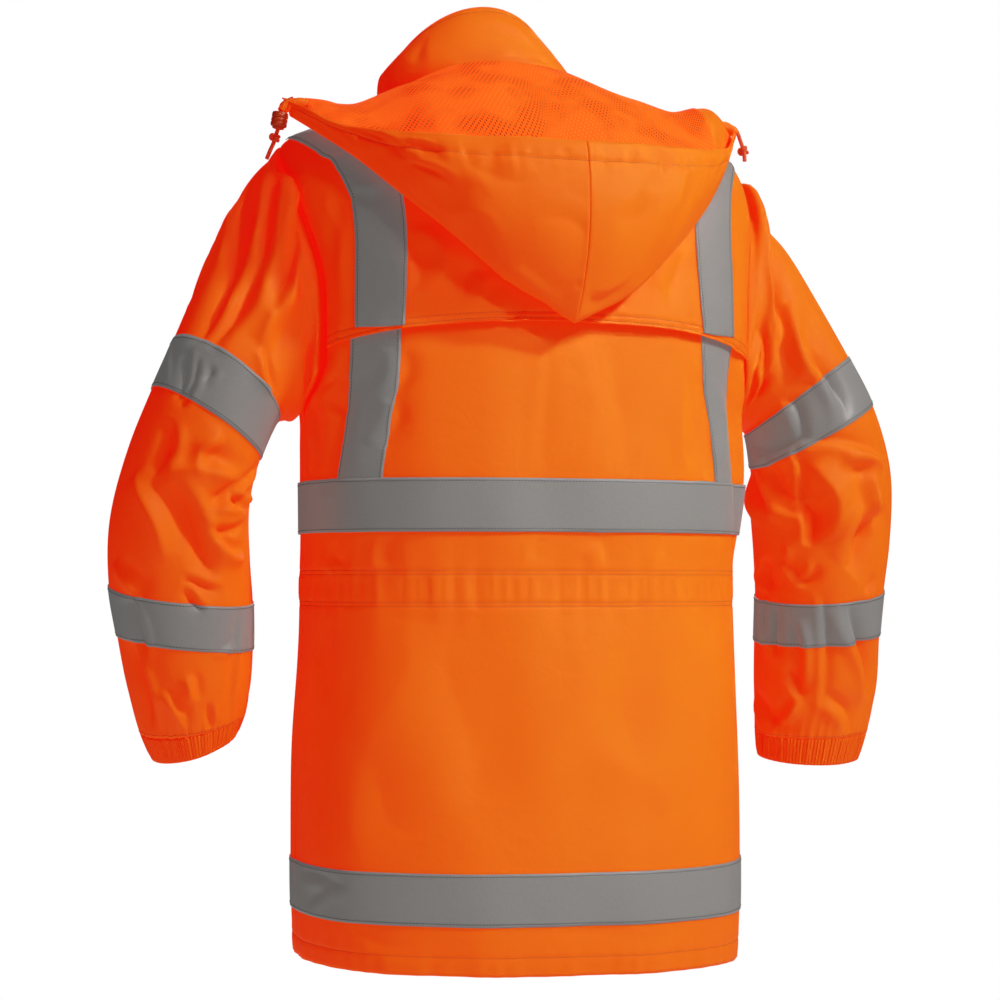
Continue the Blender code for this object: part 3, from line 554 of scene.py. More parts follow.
def bump_over(tree, shader, heights):
    """Bumps laid over each other: each a height socket, its distance in metres and its strength."""
    normal = None
    for height, distance, strength in heights:
        inputs = {"Height": height, "Distance": distance, "Strength": strength}
        if normal:
            inputs["Normal"] = normal
        normal = add_node(tree, "ShaderNodeBump", inputs).outputs["Normal"]
    tree.links.new(normal, shader.inputs["Normal"])


def noise(tree, scale, detail=2.0, distortion=0.0):
    place = add_node(tree, "ShaderNodeTexCoord")
    return add_node(
        tree, "ShaderNodeTexNoise",
        {"Vector": place.outputs["Object"], "Scale": scale, "Detail": detail, "Distortion": distortion},
    ).outputs["Fac"]


def rib_height(tree, pitch):
    """Elastic gathers: ridges that run down the piece, a pitch apart and a little uneven."""
    return waves_over(tree, metres(tree), WAVE_SCALE / pitch, "X", distortion=2.5, detail=2.0, detail_scale=0.4)


print("helpers for materials")

# %% [markdown]
# The shell cloth is a dyed polyester oxford with a coated back. It has a fine weave, little shine, and a
# fluorescent dye. A constant red emission on the shader is painted light: a glow that keeps its shadows red
# and never grey, however little light falls on them. The cuffs have the same cloth, gathered into ribs by
# elastic.

# %% Materials: shell cloth
RIB_PITCH = 0.0042


def cloth_with_painted_glow(name, dark, light, painted_glow, strength, pitch=0.0009, rib_depth=0.0):
    material, tree, shader = new_material(name, light, 0.6)
    tree.links.new(colour_between(tree, noise(tree, 9.0, 3.0), dark, light), shader.inputs["Base Color"])
    # painted light: a constant red glow, so that the cloth's shade stays red
    set_glow(shader, painted_glow, strength)
    shader.inputs["Specular IOR Level"].default_value = 0.10
    bump_over(tree, shader, [
        (weave_height(tree, pitch), 0.0002, 0.25),
        (noise(tree, 55.0, 4.0, 0.8), 0.0016, 0.35),
        (noise(tree, 18.0, 2.0, 0.4), 0.0040, 0.30),
        (rib_height(tree, RIB_PITCH), rib_depth, min(rib_depth * 1000, 1.0)),
    ])
    return material


# two base colours, then the colour and strength of the cloth's painted red glow
ORANGE = ((0.20, 0.160, 0.004), (0.24, 0.190, 0.005), (1.0, 0.003, 0.002), 0.65)
CLOTH = cloth_with_painted_glow("orange cloth", *ORANGE)
GATHERED_CLOTH = cloth_with_painted_glow("gathered orange cloth", *ORANGE, rib_depth=0.0016)
print("cloth materials made")

# %% [markdown]
# The reflective tape is a grey cloth faced with tiny glass beads. It is smooth and dull, with a flat margin
# outside each line of stitching, and it has a faint white glow that is painted light, lifting its shaded sides.
# The attribute called across runs from -1 to 1 over a tape's width. The hood's lining is an open knitted mesh,
# with its holes as a pattern of staggered dots. Their colour is painted: the shell seen through them, dark red
# in painted shade and bright orange in patches of painted light. The knit has a painted red glow.

# %% Materials: tape and mesh
HOLE_PITCH = 0.0036
HOLE_STRETCH = 0.55
HOLE_EDGE = (0.20, 0.32)
STITCH_PLACE = 0.885
MARGIN_EDGE = (0.875, 0.895)


def tape_material():
    material, tree, shader = new_material("reflective tape", (0.22, 0.21, 0.20), 0.42)
    across = add_node(tree, "ShaderNodeAttribute", attribute_name="across").outputs["Fac"]
    out = calculate(tree, "ABSOLUTE", across)
    margin = scaled(tree, out, from_min=MARGIN_EDGE[0], from_max=MARGIN_EDGE[1])
    beads = colour_between(tree, noise(tree, 420.0, 2.0), (0.165, 0.152, 0.143), (0.195, 0.184, 0.173))
    tree.links.new(mixed(tree, margin, beads, (0.170, 0.163, 0.156)), shader.inputs["Base Color"])
    # painted light: a faint white glow that lifts the tape's shaded sides
    set_glow(shader, (1.0, 0.96, 0.93), 0.095)
    shader.inputs["Specular IOR Level"].default_value = 0.25
    from_stitches = calculate(tree, "ABSOLUTE", calculate(tree, "SUBTRACT", out, STITCH_PLACE))
    groove = scaled(tree, from_stitches, from_min=0.0, from_max=0.03)
    bump_over(tree, shader, [
        (noise(tree, 900.0, 1.0), 0.0001, 0.2),
        (noise(tree, 60.0, 3.0, 0.6), 0.0010, 0.3),
        (groove, 0.0010, 0.6),
    ])
    return material


def mesh_material():
    """Open warp-knit mesh: staggered holes whose colour is painted, dark red shade with noise patches of bright
    painted light.
    """
    material, tree, shader = new_material("orange mesh", (0.3, 0.1, 0.01), 0.8)
    shader.inputs["Specular IOR Level"].default_value = 0.05
    stretched = add_node(tree, "ShaderNodeMapping", {"Vector": metres(tree), "Scale": (1, HOLE_STRETCH, 1)})
    turned = add_node(tree, "ShaderNodeMapping", {
        "Vector": stretched.outputs[0], "Rotation": (0, 0, math.radians(45)), "Scale": (1 / HOLE_PITCH,) * 3,
    })
    vectors = {"kind": "ShaderNodeVectorMath"}
    cell = calculate(tree, "FRACTION", turned.outputs[0], **vectors)
    middle = calculate(tree, "SUBTRACT", cell, (0.5, 0.5, 0), **vectors)
    flat = calculate(tree, "MULTIPLY", middle, (1, 1, 0), **vectors)
    far = calculate(tree, "LENGTH", flat, output="Value", **vectors)
    hole = scaled(tree, far, from_min=HOLE_EDGE[0], from_max=HOLE_EDGE[1])
    # painted light: noise patches where the holes are painted bright orange
    painted_light_patches = scaled(tree, noise(tree, 24.0, 2.0), from_min=0.42, from_max=0.56)
    behind = colour_between(tree, painted_light_patches, (0.42, 0.004, 0.002), (0.85, 0.200, 0.020))
    # the holes' base colour is dark: painted shade in the openings
    knit = colour_between(tree, hole, (0.06, 0.010, 0.002), (0.24, 0.120, 0.004))
    tree.links.new(knit, shader.inputs["Base Color"])
    # the emission is painted: in the holes, the shell behind in painted shade or painted light; on the knit, a
    # red glow
    tree.links.new(mixed(tree, hole, behind, (0.80, 0.012, 0.003)), shader.inputs["Emission Color"])
    shader.inputs["Emission Strength"].default_value = 1.0
    bump_over(tree, shader, [(hole, 0.0006, 0.5), (noise(tree, 30.0, 3.0, 0.5), 0.003, 0.3)])
    return material


TAPE = tape_material()
MESH = mesh_material()
print("tape and mesh materials made")

# %% [markdown]
# The cord is braided, which two sets of bands crossing each other give. The plastics and threads are plain,
# with a roughness that varies a little. The cord, the orange plastic and the orange thread carry a painted red
# glow, as the cloth does, so that their shade stays red.

# %% Materials: cord, plastics and threads
BRAID_ANGLES = (50, -50)
BRAID_SCALE = 190.0
PAINTED_RED_GLOW = (1.0, 0.010, 0.003)


def braid_material(name, colour, painted_glow):
    material, tree, shader = new_material(name, colour, 0.6)
    place = add_node(tree, "ShaderNodeTexCoord").outputs["Object"]
    bands = []
    for angle in BRAID_ANGLES:
        turned = add_node(tree, "ShaderNodeMapping", {"Vector": place, "Rotation": (0, math.radians(angle), 0)})
        bands.append(waves_over(tree, turned.outputs[0], BRAID_SCALE, "X"))
    # painted light: the cord glows red, as the cloth does
    set_glow(shader, painted_glow, 0.38)
    bump_over(tree, shader, [(calculate(tree, "MAXIMUM", *bands), 0.0004, 0.7)])
    return material


def plain_material(name, colour, roughness, metallic=0.0, grain=300.0):
    material, tree, shader = new_material(name, colour, roughness)
    shader.inputs["Metallic"].default_value = metallic
    rough = scaled(tree, noise(tree, 120.0, 3.0), to_min=roughness - 0.06, to_max=roughness + 0.08)
    tree.links.new(rough, shader.inputs["Roughness"])
    bump_over(tree, shader, [(noise(tree, grain, 3.0), 0.0002, 0.25)])
    return material


CORD = braid_material("orange cord", (0.30, 0.080, 0.008), PAINTED_RED_GLOW)
LOCK_PLASTIC = plain_material("orange plastic", (0.32, 0.060, 0.006), 0.42)
ZIP_PLASTIC = plain_material("dark zip", (0.055, 0.055, 0.058), 0.38, 0.25)
ORANGE_THREAD = plain_material("orange thread", (0.30, 0.055, 0.004), 0.6)
GREY_THREAD = plain_material("grey thread", (0.075, 0.070, 0.066), 0.6)
# painted light: the orange plastic and thread glow red, as the cloth does
for material in (LOCK_PLASTIC, ORANGE_THREAD):
    set_glow(material.node_tree.nodes["Principled BSDF"], PAINTED_RED_GLOW, 0.20)
print(len(bpy.data.materials), "materials")

# %% [markdown]
# Every panel is made the same way: a grid of distances, laid on its surface, turned into a mesh, and given
# its wall by Solidify, which thickens inwards. The distances are kept as the UV map called metres. Rows of
# the grid crowd together beside a sewn line, as the cloth bends sharply there.

# %% Laying cloth on a surface
BODY = "jacket"
SHELL_WALL = 0.0012
LEAST_AREA = 0.301
SEAM_ROWS = (-0.0024, -0.0012, 0.0, 0.0012, 0.0024)
CLEAR_OF_SEAM = 0.0030
made = {}


def lay(surface, across, down, lift=None):
    points = surface(across, down)
    if lift is None:
        return points
    return points + normals_of(surface, across, down, surface.turn) * np.asarray(lift)[..., None]


def cloth_from_points(name, points, across, down, turn, material, wall, closed=False, over=None):
    """A mesh from a grid of points; over is an attribute that runs across a tape."""
    rows, columns = points.shape[:2]
    wide = columns if closed else columns - 1
    r, c = np.meshgrid(np.arange(rows - 1), np.arange(wide), indexing="ij")
    here, after = r * columns + c, r * columns + (c + 1) % columns
    corners = [here, here + columns, after + columns, after]
    uv_down = [(r, c), (r + 1, c), (r + 1, c + 1), (r, c + 1)]
    if turn < 0:
        corners, uv_down = corners[::-1], uv_down[::-1]
    faces = np.stack(corners, axis=-1).reshape(-1, 4)
    mesh = bpy.data.meshes.new(name)
    mesh.from_pydata(points.reshape(-1, 3).tolist(), [], faces.tolist())
    layer = mesh.uv_layers.new(name="metres")
    if closed:
        across = np.concatenate([across, across[:, -1:] + (across[:, -1:] - across[:, -2:-1])], axis=1)
        down = np.concatenate([down, down[:, :1]], axis=1)
    spots = np.stack([np.stack([across[i, j], down[i, j]], axis=-1) for i, j in uv_down], axis=2).reshape(-1, 2)
    layer.data.foreach_set("uv", spots.astype(np.float32).ravel())
    if over is not None:
        values = mesh.attributes.new("across", "FLOAT", "POINT")
        values.data.foreach_set("value", np.broadcast_to(over, points.shape[:2]).astype(np.float32).ravel())
    mesh.shade_smooth()
    mesh.materials.append(material)
    piece = add_object(name, mesh)
    if wall:
        thicken = piece.modifiers.new("wall", "SOLIDIFY")
        thicken.thickness = wall
        thicken.offset = -1
    return piece


def area_of(points, closed):
    """The area of the cloth, cell by cell."""
    if closed:
        points = np.concatenate([points, points[:, :1]], axis=1)
    cells = np.cross(np.diff(points, axis=0)[:, :-1], np.diff(points, axis=1)[:-1])
    return float(np.linalg.norm(cells, axis=-1).sum())


def sew_on(piece, node, cut, area=None):
    """Attaches a finished cloth piece to the body, hides the CAD part it stands for and counts its faces."""
    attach(piece, BODY)
    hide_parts(node)
    whole = cut[0] * cut[1]
    area = area if area is None else min(max(area, LEAST_AREA * whole), whole)
    made[piece.name] = len(piece.data.polygons)
    return piece


def panel(name, node, surface, across, down, material=None, lift=None, wall=SHELL_WALL,
          over=None, closed=False):
    across, down = np.broadcast_arrays(across, down)
    points = lay(surface, across, down, lift)
    piece = cloth_from_points(name, points, across, down, surface.turn, material or CLOTH, wall, closed, over)
    area = area_of(points, closed)
    cut = (float(np.ptp(across)) * (1 + closed / (across.shape[1] - 1)), float(np.ptp(down)))
    return sew_on(piece, node, cut, area=area)


def rows_between(start, end, pitch=0.0038, lines=()):
    """Distances down, with extra rows beside each sewn line."""
    rows = list(np.linspace(start, end, max(int(round((end - start) / pitch)), 2) + 1))
    for line in lines:
        if start < line < end:
            rows = [row for row in rows if abs(row - line) > CLEAR_OF_SEAM]
            rows += [line + step for step in SEAM_ROWS]
    return np.array(sorted(row for row in rows if start <= row <= end))[:, None]


# %% [markdown]
# The main cloth: the back panel below the yoke, the yoke over the shoulders, and the two fronts.

# %% Back, yoke and fronts
def spread(edge_left, edge_right, pitch=0.0038):
    """Distances round for each row of a panel, from its right edge to its left one, evenly spaced."""
    columns = int(np.max(edge_left - edge_right) / pitch)
    return edge_right + (edge_left - edge_right) * np.linspace(0, 1, columns + 1)[None, :]


back_down = rows_between(DOWN["arm_2"] + 0.5 * (DOWN["arm_3"] - DOWN["arm_2"]), DOWN["hem"],
                         lines=casing_downs + [hem_stitch_down])
back_edge = edge_of(level_of(back_down), "back")
panel("back_cloth", "back_panel", BACK, spread(back_edge, -back_edge, 0.0042), back_down)

yoke_down = rows_between(DOWN["neck"], DOWN["yoke_hem"], lines=yoke_stitch_downs)
yoke_edge = edge_of(level_of(yoke_down), "back") - 0.0015 * (level_of(yoke_down) >= LEVELS["shoulder_tip"])
panel("yoke_cloth", "back_yoke", YOKE, spread(yoke_edge, -yoke_edge), yoke_down)

ZIP_HALF_GAP = 0.006
front_down = rows_between(DOWN["neck"], DOWN["hem"], 0.0058, casing_downs + [hem_stitch_down])
front_edge = edge_of(level_of(front_down), "front")
panel("front_left_cloth", "front_left", FRONT, spread(front_edge, ZIP_HALF_GAP + 0 * front_edge, 0.005),
      front_down)
panel("front_right_cloth", "front_right", FRONT, spread(-ZIP_HALF_GAP + 0 * front_edge, -front_edge, 0.005),
      front_down)
print(made)

# %% [markdown]
# Tapes are sewn flat on the panels, so they take the panels' own surface, moved out by a hair.

# %% Tapes round the body
TAPE_LIFT = 0.0012
TAPE_WALL = 0.0007
THREAD_LIFT = 0.0001
TAPE_ROWS = 17
STITCH_SHARES = ((1 - STITCH_PLACE) / 2, (1 + STITCH_PLACE) / 2)
tape_over = np.linspace(-1, 1, TAPE_ROWS)[:, None]
seams = {"orange": [], "grey": []}


def stitch_line(surface, across, down, thread, lift):
    """A sewn line along distances on a surface, kept for the stitches."""
    across, down = np.broadcast_arrays(np.atleast_1d(across).astype(float), np.atleast_1d(down).astype(float))
    seams[thread].append(lay(surface, across, down, np.full(across.shape, lift)))


def band_tape(name, node, surface, first_down, last_down, left, right, lift=TAPE_LIFT):
    """A level tape, between two distances down, over the whole width of a panel."""
    down = np.linspace(first_down, last_down, TAPE_ROWS)[:, None]
    across = spread(left(down), right(down), 0.0036)
    panel(name, node, surface, across, down, TAPE, np.full(across.shape, lift), TAPE_WALL,
          tape_over)
    for share in STITCH_SHARES:
        line = first_down + (last_down - first_down) * share
        stitch_line(surface, spread(left(down), right(down), 0.004)[0], line, "grey", lift + THREAD_LIFT)


def side_edge(face, side):
    return lambda down: side * edge_of(level_of(down), face)


def zip_edge(side):
    return lambda down: 0 * down + side * ZIP_HALF_GAP


BAND_LIFTS = {"waist_tape": 0.0022, "hem_tape": TAPE_LIFT}
BAND_PIECES = (
    ("back", "back", BACK, side_edge("back", 1), side_edge("back", -1)),
    ("left", "front_left", FRONT, side_edge("front", 1), zip_edge(1)),
    ("right", "front_right", FRONT, zip_edge(-1), side_edge("front", -1)),
)
for place, lift in BAND_LIFTS.items():
    for part, node, surface, left, right in BAND_PIECES:
        band_tape(place + "_" + part + "_cloth", place + "_" + node, surface,
                  DOWN[place + "_top"], DOWN[place + "_bottom"], left, right, lift)
print(len(seams["grey"]), "sewn lines on the level tapes")

# %% [markdown]
# The brace tapes run over the shoulders. Each follows a path on its panel, a table of ring numbers and
# distances round, and is built out square to that path to both sides.

# %% Brace tapes
BRACES = {
    "yoke": ((5.95, 0.280), (6.1, 0.262), (6.5, 0.230), (7.2, 0.197), (8.0, 0.180), (9.0, 0.173),
             (10.0, 0.173), (10.96, 0.175)),
    "back": ((10.75, 0.181), (12.0, 0.184), (13.5, 0.194), (15.25, 0.201)),
    "front": ((5.95, 0.280), (6.1, 0.260), (6.6, 0.232), (7.4, 0.206), (8.5, 0.190), (10.0, 0.184),
              (12.0, 0.184), (14.95, 0.184)),
}


BRACE_ENDS = (0.01, 0.985)
BRACE_TOP_LIFT = 0.0016
BRACE_STEPS = 110
BRACE_COLUMNS = 15


def tape_along(name, node, surface, path, side, first=0.0, last=1.0, lift=TAPE_LIFT):
    """A tape along a path of ring numbers and distances round."""
    places = smooth_rows(path, np.linspace(first, last, BRACE_STEPS) * (len(path) - 1))
    down = down_of(places[:, 0])
    across = side * (places[:, 1] - RIGHT_BRACE_SHIFT * (side < 0))
    step = 0.002
    centre = surface(across, down)
    along = np.gradient(centre, axis=0)
    along /= np.linalg.norm(along, axis=1, keepdims=True)
    downwards = (surface(across, down + step) - surface(across, down - step)) / (2 * step)
    roundwards = (surface(across + step, down) - surface(across - step, down)) / (2 * step)
    normal = np.cross(downwards, roundwards * surface.turn)
    normal /= np.linalg.norm(normal, axis=1, keepdims=True)
    sideways = np.cross(normal, along)
    steps = np.array([
        np.linalg.lstsq(np.stack([one_down, one_round], axis=1), out, rcond=None)[0]
        for one_down, one_round, out in zip(downwards, roundwards, sideways)
    ])
    over = np.linspace(-1, 1, BRACE_COLUMNS)[None, :]
    offset = over * TAPE_WIDTH / 2
    grid_down = down[:, None] + steps[:, :1] * offset
    grid_across = across[:, None] + steps[:, 1:] * offset
    points = lay(surface, grid_across, grid_down, np.full(grid_across.shape, lift))
    run = np.concatenate([[0], np.cumsum(np.linalg.norm(np.diff(centre, axis=0), axis=1))])[:, None]
    facing = np.cross(np.gradient(points, axis=0), np.gradient(points, axis=1))
    flat_turn = 1 if np.sum(facing * normal[:, None]) > 0 else -1
    piece = cloth_from_points(name, points, np.broadcast_to(offset, points.shape[:2]),
                              np.broadcast_to(run, points.shape[:2]), flat_turn, TAPE, TAPE_WALL, over=over)
    sew_on(piece, node, (TAPE_WIDTH, float(run[-1, 0])))
    for edge in (-STITCH_PLACE, STITCH_PLACE):
        shift = steps * (edge * TAPE_WIDTH / 2)
        thread_lift = np.full(len(across), lift + THREAD_LIFT)
        seams["grey"].append(lay(surface, across + shift[:, 1], down + shift[:, 0], thread_lift))


HANDS = ((1, "left"), (-1, "right"))
BRACE_PIECES = (
    ("yoke", YOKE, (*BRACE_ENDS, BRACE_TOP_LIFT)),
    ("back", BACK, ()),
    ("front", FRONT, (*BRACE_ENDS, BRACE_TOP_LIFT)),
)
for side, hand in HANDS:
    for part, surface, settings in BRACE_PIECES:
        node = "brace_" + part + "_" + hand
        tape_along(node + "_cloth", node, surface, BRACES[part], side, *settings)
print(len(made), "cloth pieces so far")

# %% [markdown]
# A sleeve is a tube. Its first ring is the armhole itself, read off the panels' edges, so that the seam
# meets. The others are ovals that follow the hanging arm. A smooth curve runs through them, and its knots are
# as far apart as the rings are, so that it doesn't overshoot.

# %% Sleeves: sections
ARM_COLUMNS = ("outer_x", "outer_y", "outer_z", "inner_x", "inner_y", "inner_z", "half_depth")
ARM_RINGS = (
    "head_1", "head_2", "head_3", "upper_tape_top", "upper_tape_bottom", "upper_arm", "elbow",
    "forearm_tape_top", "forearm_tape_bottom", "lower_arm", "cuff_seam", "cuff_end",
)
ARM_SECTIONS = {
    1: (
        (0.249, -0.034, -0.071, 0.226, 0.012, -0.3215, 0.086),
        (0.277, -0.022, -0.122, 0.231, 0.012, -0.3225, 0.081),
        (0.314, -0.004, -0.188, 0.239, 0.014, -0.3240, 0.075),
        (0.344, 0.012, -0.250, 0.248, 0.018, -0.3280, 0.070),
        (0.366, 0.019, -0.297, 0.265, 0.019, -0.3650, 0.068),
        (0.389, 0.017, -0.354, 0.274, 0.017, -0.4050, 0.067),
        (0.4060, 0.008, -0.430, 0.272, 0.008, -0.4590, 0.067),
        (0.4045, 0.000, -0.486, 0.267, 0.000, -0.5000, 0.066),
        (0.396, -0.006, -0.533, 0.265, -0.006, -0.5450, 0.064),
        (0.385, -0.011, -0.586, 0.267, -0.011, -0.5840, 0.059),
        (0.372, -0.016, -0.628, 0.273, -0.016, -0.6080, 0.050),
        (0.361, -0.020, -0.653, 0.280, -0.020, -0.6260, 0.044),
    ),
    -1: (
        (0.251, -0.034, -0.071, 0.226, 0.012, -0.3215, 0.086),
        (0.285, -0.022, -0.124, 0.231, 0.012, -0.3225, 0.081),
        (0.320, -0.004, -0.190, 0.238, 0.014, -0.3240, 0.075),
        (0.349, 0.012, -0.252, 0.245, 0.018, -0.3280, 0.070),
        (0.373, 0.019, -0.297, 0.250, 0.019, -0.3660, 0.068),
        (0.394, 0.017, -0.354, 0.249, 0.017, -0.4050, 0.067),
        (0.4005, 0.008, -0.430, 0.256, 0.008, -0.4590, 0.067),
        (0.3975, 0.000, -0.486, 0.262, 0.000, -0.5000, 0.066),
        (0.396, -0.006, -0.533, 0.264, -0.006, -0.5450, 0.064),
        (0.396, -0.011, -0.586, 0.265, -0.011, -0.5920, 0.059),
        (0.386, -0.016, -0.636, 0.268, -0.016, -0.6390, 0.051),
        (0.379, -0.020, -0.664, 0.271, -0.020, -0.6640, 0.047),
    ),
}
ARM_ROUND = 0.42
ARM_POINTS = 150
SEAM_STRIP = 0.004


def armhole(side):
    """The armhole's seam, from its top round the back to the armpit and up the front, as if on the left."""
    half = np.linspace(LEVELS["shoulder_tip"], LEVELS["armpit"], ARM_POINTS // 2 + 1)
    loops = []
    for face, levels in (("back", half), ("front", half[::-1])):
        loops.append(ring_point(face, side * edge_of(levels, face), down_of(levels)) * (side, 1, 1))
    return np.concatenate([loops[0], loops[1][1:-1]]) + (SEAM_GAP, 0, 0)


def arm_rings(side):
    """The sleeve's rings of points, from the armhole to the end of the cuff."""
    rows = [dict(zip(ARM_COLUMNS, row)) for row in ARM_SECTIONS[side]]
    outer, inner = (
        np.array([[row[end + "_" + axis] for axis in "xyz"] for row in rows]) for end in ("outer", "inner")
    )
    centre, half_width = (outer + inner) / 2, (outer - inner) / 2
    depth = np.cross(half_width, np.gradient(centre, axis=0))
    depth *= np.array([[row["half_depth"]] for row in rows]) / np.linalg.norm(depth, axis=1, keepdims=True)
    turn = np.linspace(0, 2 * math.pi, ARM_POINTS, endpoint=False)[None, :, None]
    rings = centre[:, None] + half_width[:, None] * np.cos(turn) + depth[:, None] * np.sin(turn)
    loop = armhole(side)
    return np.concatenate([loop[None], (loop + (SEAM_STRIP, 0, 0))[None], rings])


def smooth_through(knots, rows, positions):
    """A cubic through rows at uneven knots."""
    gaps = np.diff(knots)
    slopes = np.diff(rows, axis=0) / gaps[:, None, None]
    tangents = np.concatenate([slopes[:1], slopes[:-1], slopes[-1:]])
    weight = (gaps[1:] / (gaps[1:] + gaps[:-1]))[:, None, None]
    tangents[1:-1] = slopes[:-1] * weight + slopes[1:] * (1 - weight)
    tangents[0], tangents[-1] = slopes[0], slopes[-1]
    piece = np.clip(np.searchsorted(knots, positions, side="right") - 1, 0, len(gaps) - 1)
    gap = gaps[piece][:, None, None]
    t = ((positions - knots[piece]) / gaps[piece])[:, None, None]
    return (
        rows[piece] * (2 * t**3 - 3 * t**2 + 1) + tangents[piece] * gap * (t**3 - 2 * t**2 + t)
        + rows[piece + 1] * (3 * t**2 - 2 * t**3) + tangents[piece + 1] * gap * (t**3 - t**2)
    )


print(len(ARM_RINGS), "sections a sleeve")

# %% [markdown]
# The sleeves carry most of the creases: crushed folds inside the elbow, drags from the armpit, and small ones
# round the tapes. Distances round run from the top of the sleeve towards the back, in millimetres like those
# down it. The last six creases of each sleeve are on its front, made to be like the others.

# %% Sleeves: creases
SLEEVE_CREASES = {
    1: (
        (33, 0, 74, 91, 8.6, -11.6), (70, 71, 72, 140, 8.6, -11.6),
        (24, 31, 39, 71, 7.8, -10.5), (37, 64, 50, 141, 8.6, -11.6),
        (50, 0, 93, 52, 7.8, 10.5), (105, 27, 111, 113, 10.9, 14.7),
        (121, 13, 174, 17, 7.8, -10.5), (108, 122, 149, 136, 5.5, 7.4),
        (412, 45, 409, 108, 7.8, -10.5), (47, 146, 58, 187, 4.5, -6.1),
        (62, 150, 67, 190, 4.5, -6.1), (79, 150, 79, 165, 4.5, -4.3),
        (3, 138, 29, 187, 4.5, -5.8), (75, 241, 158, 210, 7.8, 10.5),
        (197, 191, 118, 251, 4.5, -6.1), (157, 216, 122, 257, 4.5, -6.1),
        (146, 235, 195, 240, 5.5, -7.4), (121, 259, 192, 230, 6.2, 8.4),
        (121, 277, 180, 256, 4.7, -6.3), (130, 287, 172, 298, 7, 9.5),
        (79, 248, 137, 315, 10.1, -13.7), (45, 246, 88, 309, 10.9, 10.8),
        (99, 328, 138, 329, 4.5, -6.1), (96, 337, 118, 353, 4.5, -6.1),
        (47, 340, 53, 411, 4.7, -6.3), (90, 420, 101, 444, 5.5, 7.4),
        (111, 447, 121, 472, 4.5, -6.1), (65, 434, 86, 469, 6.2, 8.4),
        (34, 321, 47, 353, 9.4, 7.2), (155, 354, 136, 472, 4.5, -4.3),
        (124, 403, 149, 383, 4.5, 4.3), (0, 0, 59, 107, 10.1, -13.7),
        (0, 14, 21, 94, 9.4, 10.8), (88, 19, 107, 88, 7, -9.5),
        (61, 202, 66, 243, 7.8, -10.5), (111, 190, 101, 227, 7, 9.5),
        (38, 393, 41, 469, 7.8, -10.5), (330, 60, 380, 130, 12, -8.5),
        (300, 200, 370, 240, 11, -8.5), (310, 270, 390, 255, 10, 7.6),
        (290, 300, 350, 330, 9, -8.5), (330, 390, 370, 440, 10, -5.9),
        (280, 120, 300, 200, 14, 5.9),
    ),
    -1: (
        (130, 0, 146, 72, 7.8, -10.5), (145, 70, 169, 76, 7.8, -10.5),
        (87, 72, 125, 124, 10.9, 12.6), (83, 34, 115, 81, 7.8, -10.5),
        (217, 158, 133, 174, 7, -9.5), (145, 171, 49, 221, 4.7, -6.3),
        (108, 199, 63, 229, 6.2, 8.4), (200, 176, 144, 243, 10.9, -14.7),
        (146, 236, 136, 275, 7.8, -10.5), (151, 174, 149, 233, 4.7, -6.3),
        (149, 229, 140, 280, 4.5, -6.1), (129, 197, 121, 278, 12.5, 14.4),
        (175, 296, 145, 322, 4.7, -6.3), (134, 303, 153, 324, 4.7, -6.3),
        (205, 296, 190, 332, 7.8, -10.5), (170, 270, 163, 301, 4.7, 6.3),
        (63, 260, 111, 309, 12.5, -16.2), (88, 335, 68, 329, 4.5, -6.1),
        (169, 418, 140, 443, 6.2, -8.4), (225, 448, 145, 492, 7.8, -10.5),
        (147, 449, 184, 492, 6.2, 8.4), (117, 439, 80, 485, 7.8, -9),
        (130, 330, 121, 470, 4.5, -4.3), (204, 334, 191, 397, 4.7, -6.3),
        (150, 127, 137, 168, 6.2, -5.8), (238, 184, 192, 246, 10.9, -14.4),
        (379, 42, 544, 49, 9.4, -12.6), (95, 94, 95, 176, 8.6, -11.6),
        (190, 343, 178, 407, 6.2, -8.4), (101, 343, 58, 456, 9.4, -12.6),
        (153, 363, 140, 439, 5.5, 7.4), (76, 216, 83, 286, 7.8, 10.5),
        (330, 50, 380, 120, 12, -8.5), (300, 190, 370, 235, 11, -8.5),
        (300, 265, 380, 250, 10, 7.6), (280, 300, 350, 320, 9, -8.5),
        (340, 400, 380, 450, 10, -5.9), (270, 110, 300, 190, 14, 5.9),
    ),
}


print(sum(len(rows) for rows in SLEEVE_CREASES.values()), "creases on the sleeves")

# %% [markdown]
# A sleeve's surface is read from its smooth rings, then moved by its creases, by the valley at the armhole,
# and by the gathers of the elastic, which grow towards the cuff.

# %% Sleeves: surface
SLEEVE_ROWS = 420
SLEEVE_WAVES = 0.0012
SEAM_CALM_REACH = 0.014
GATHER_REACH = 0.030
GATHER_HEIGHT = 0.0011
GATHERS_ROUND = 46
GATHER_FLATTENING = 0.6
CUFF_EDGE_REACH, CUFF_EDGE_SHARE = 0.008, 0.15
WAVE_SWING = 0.08


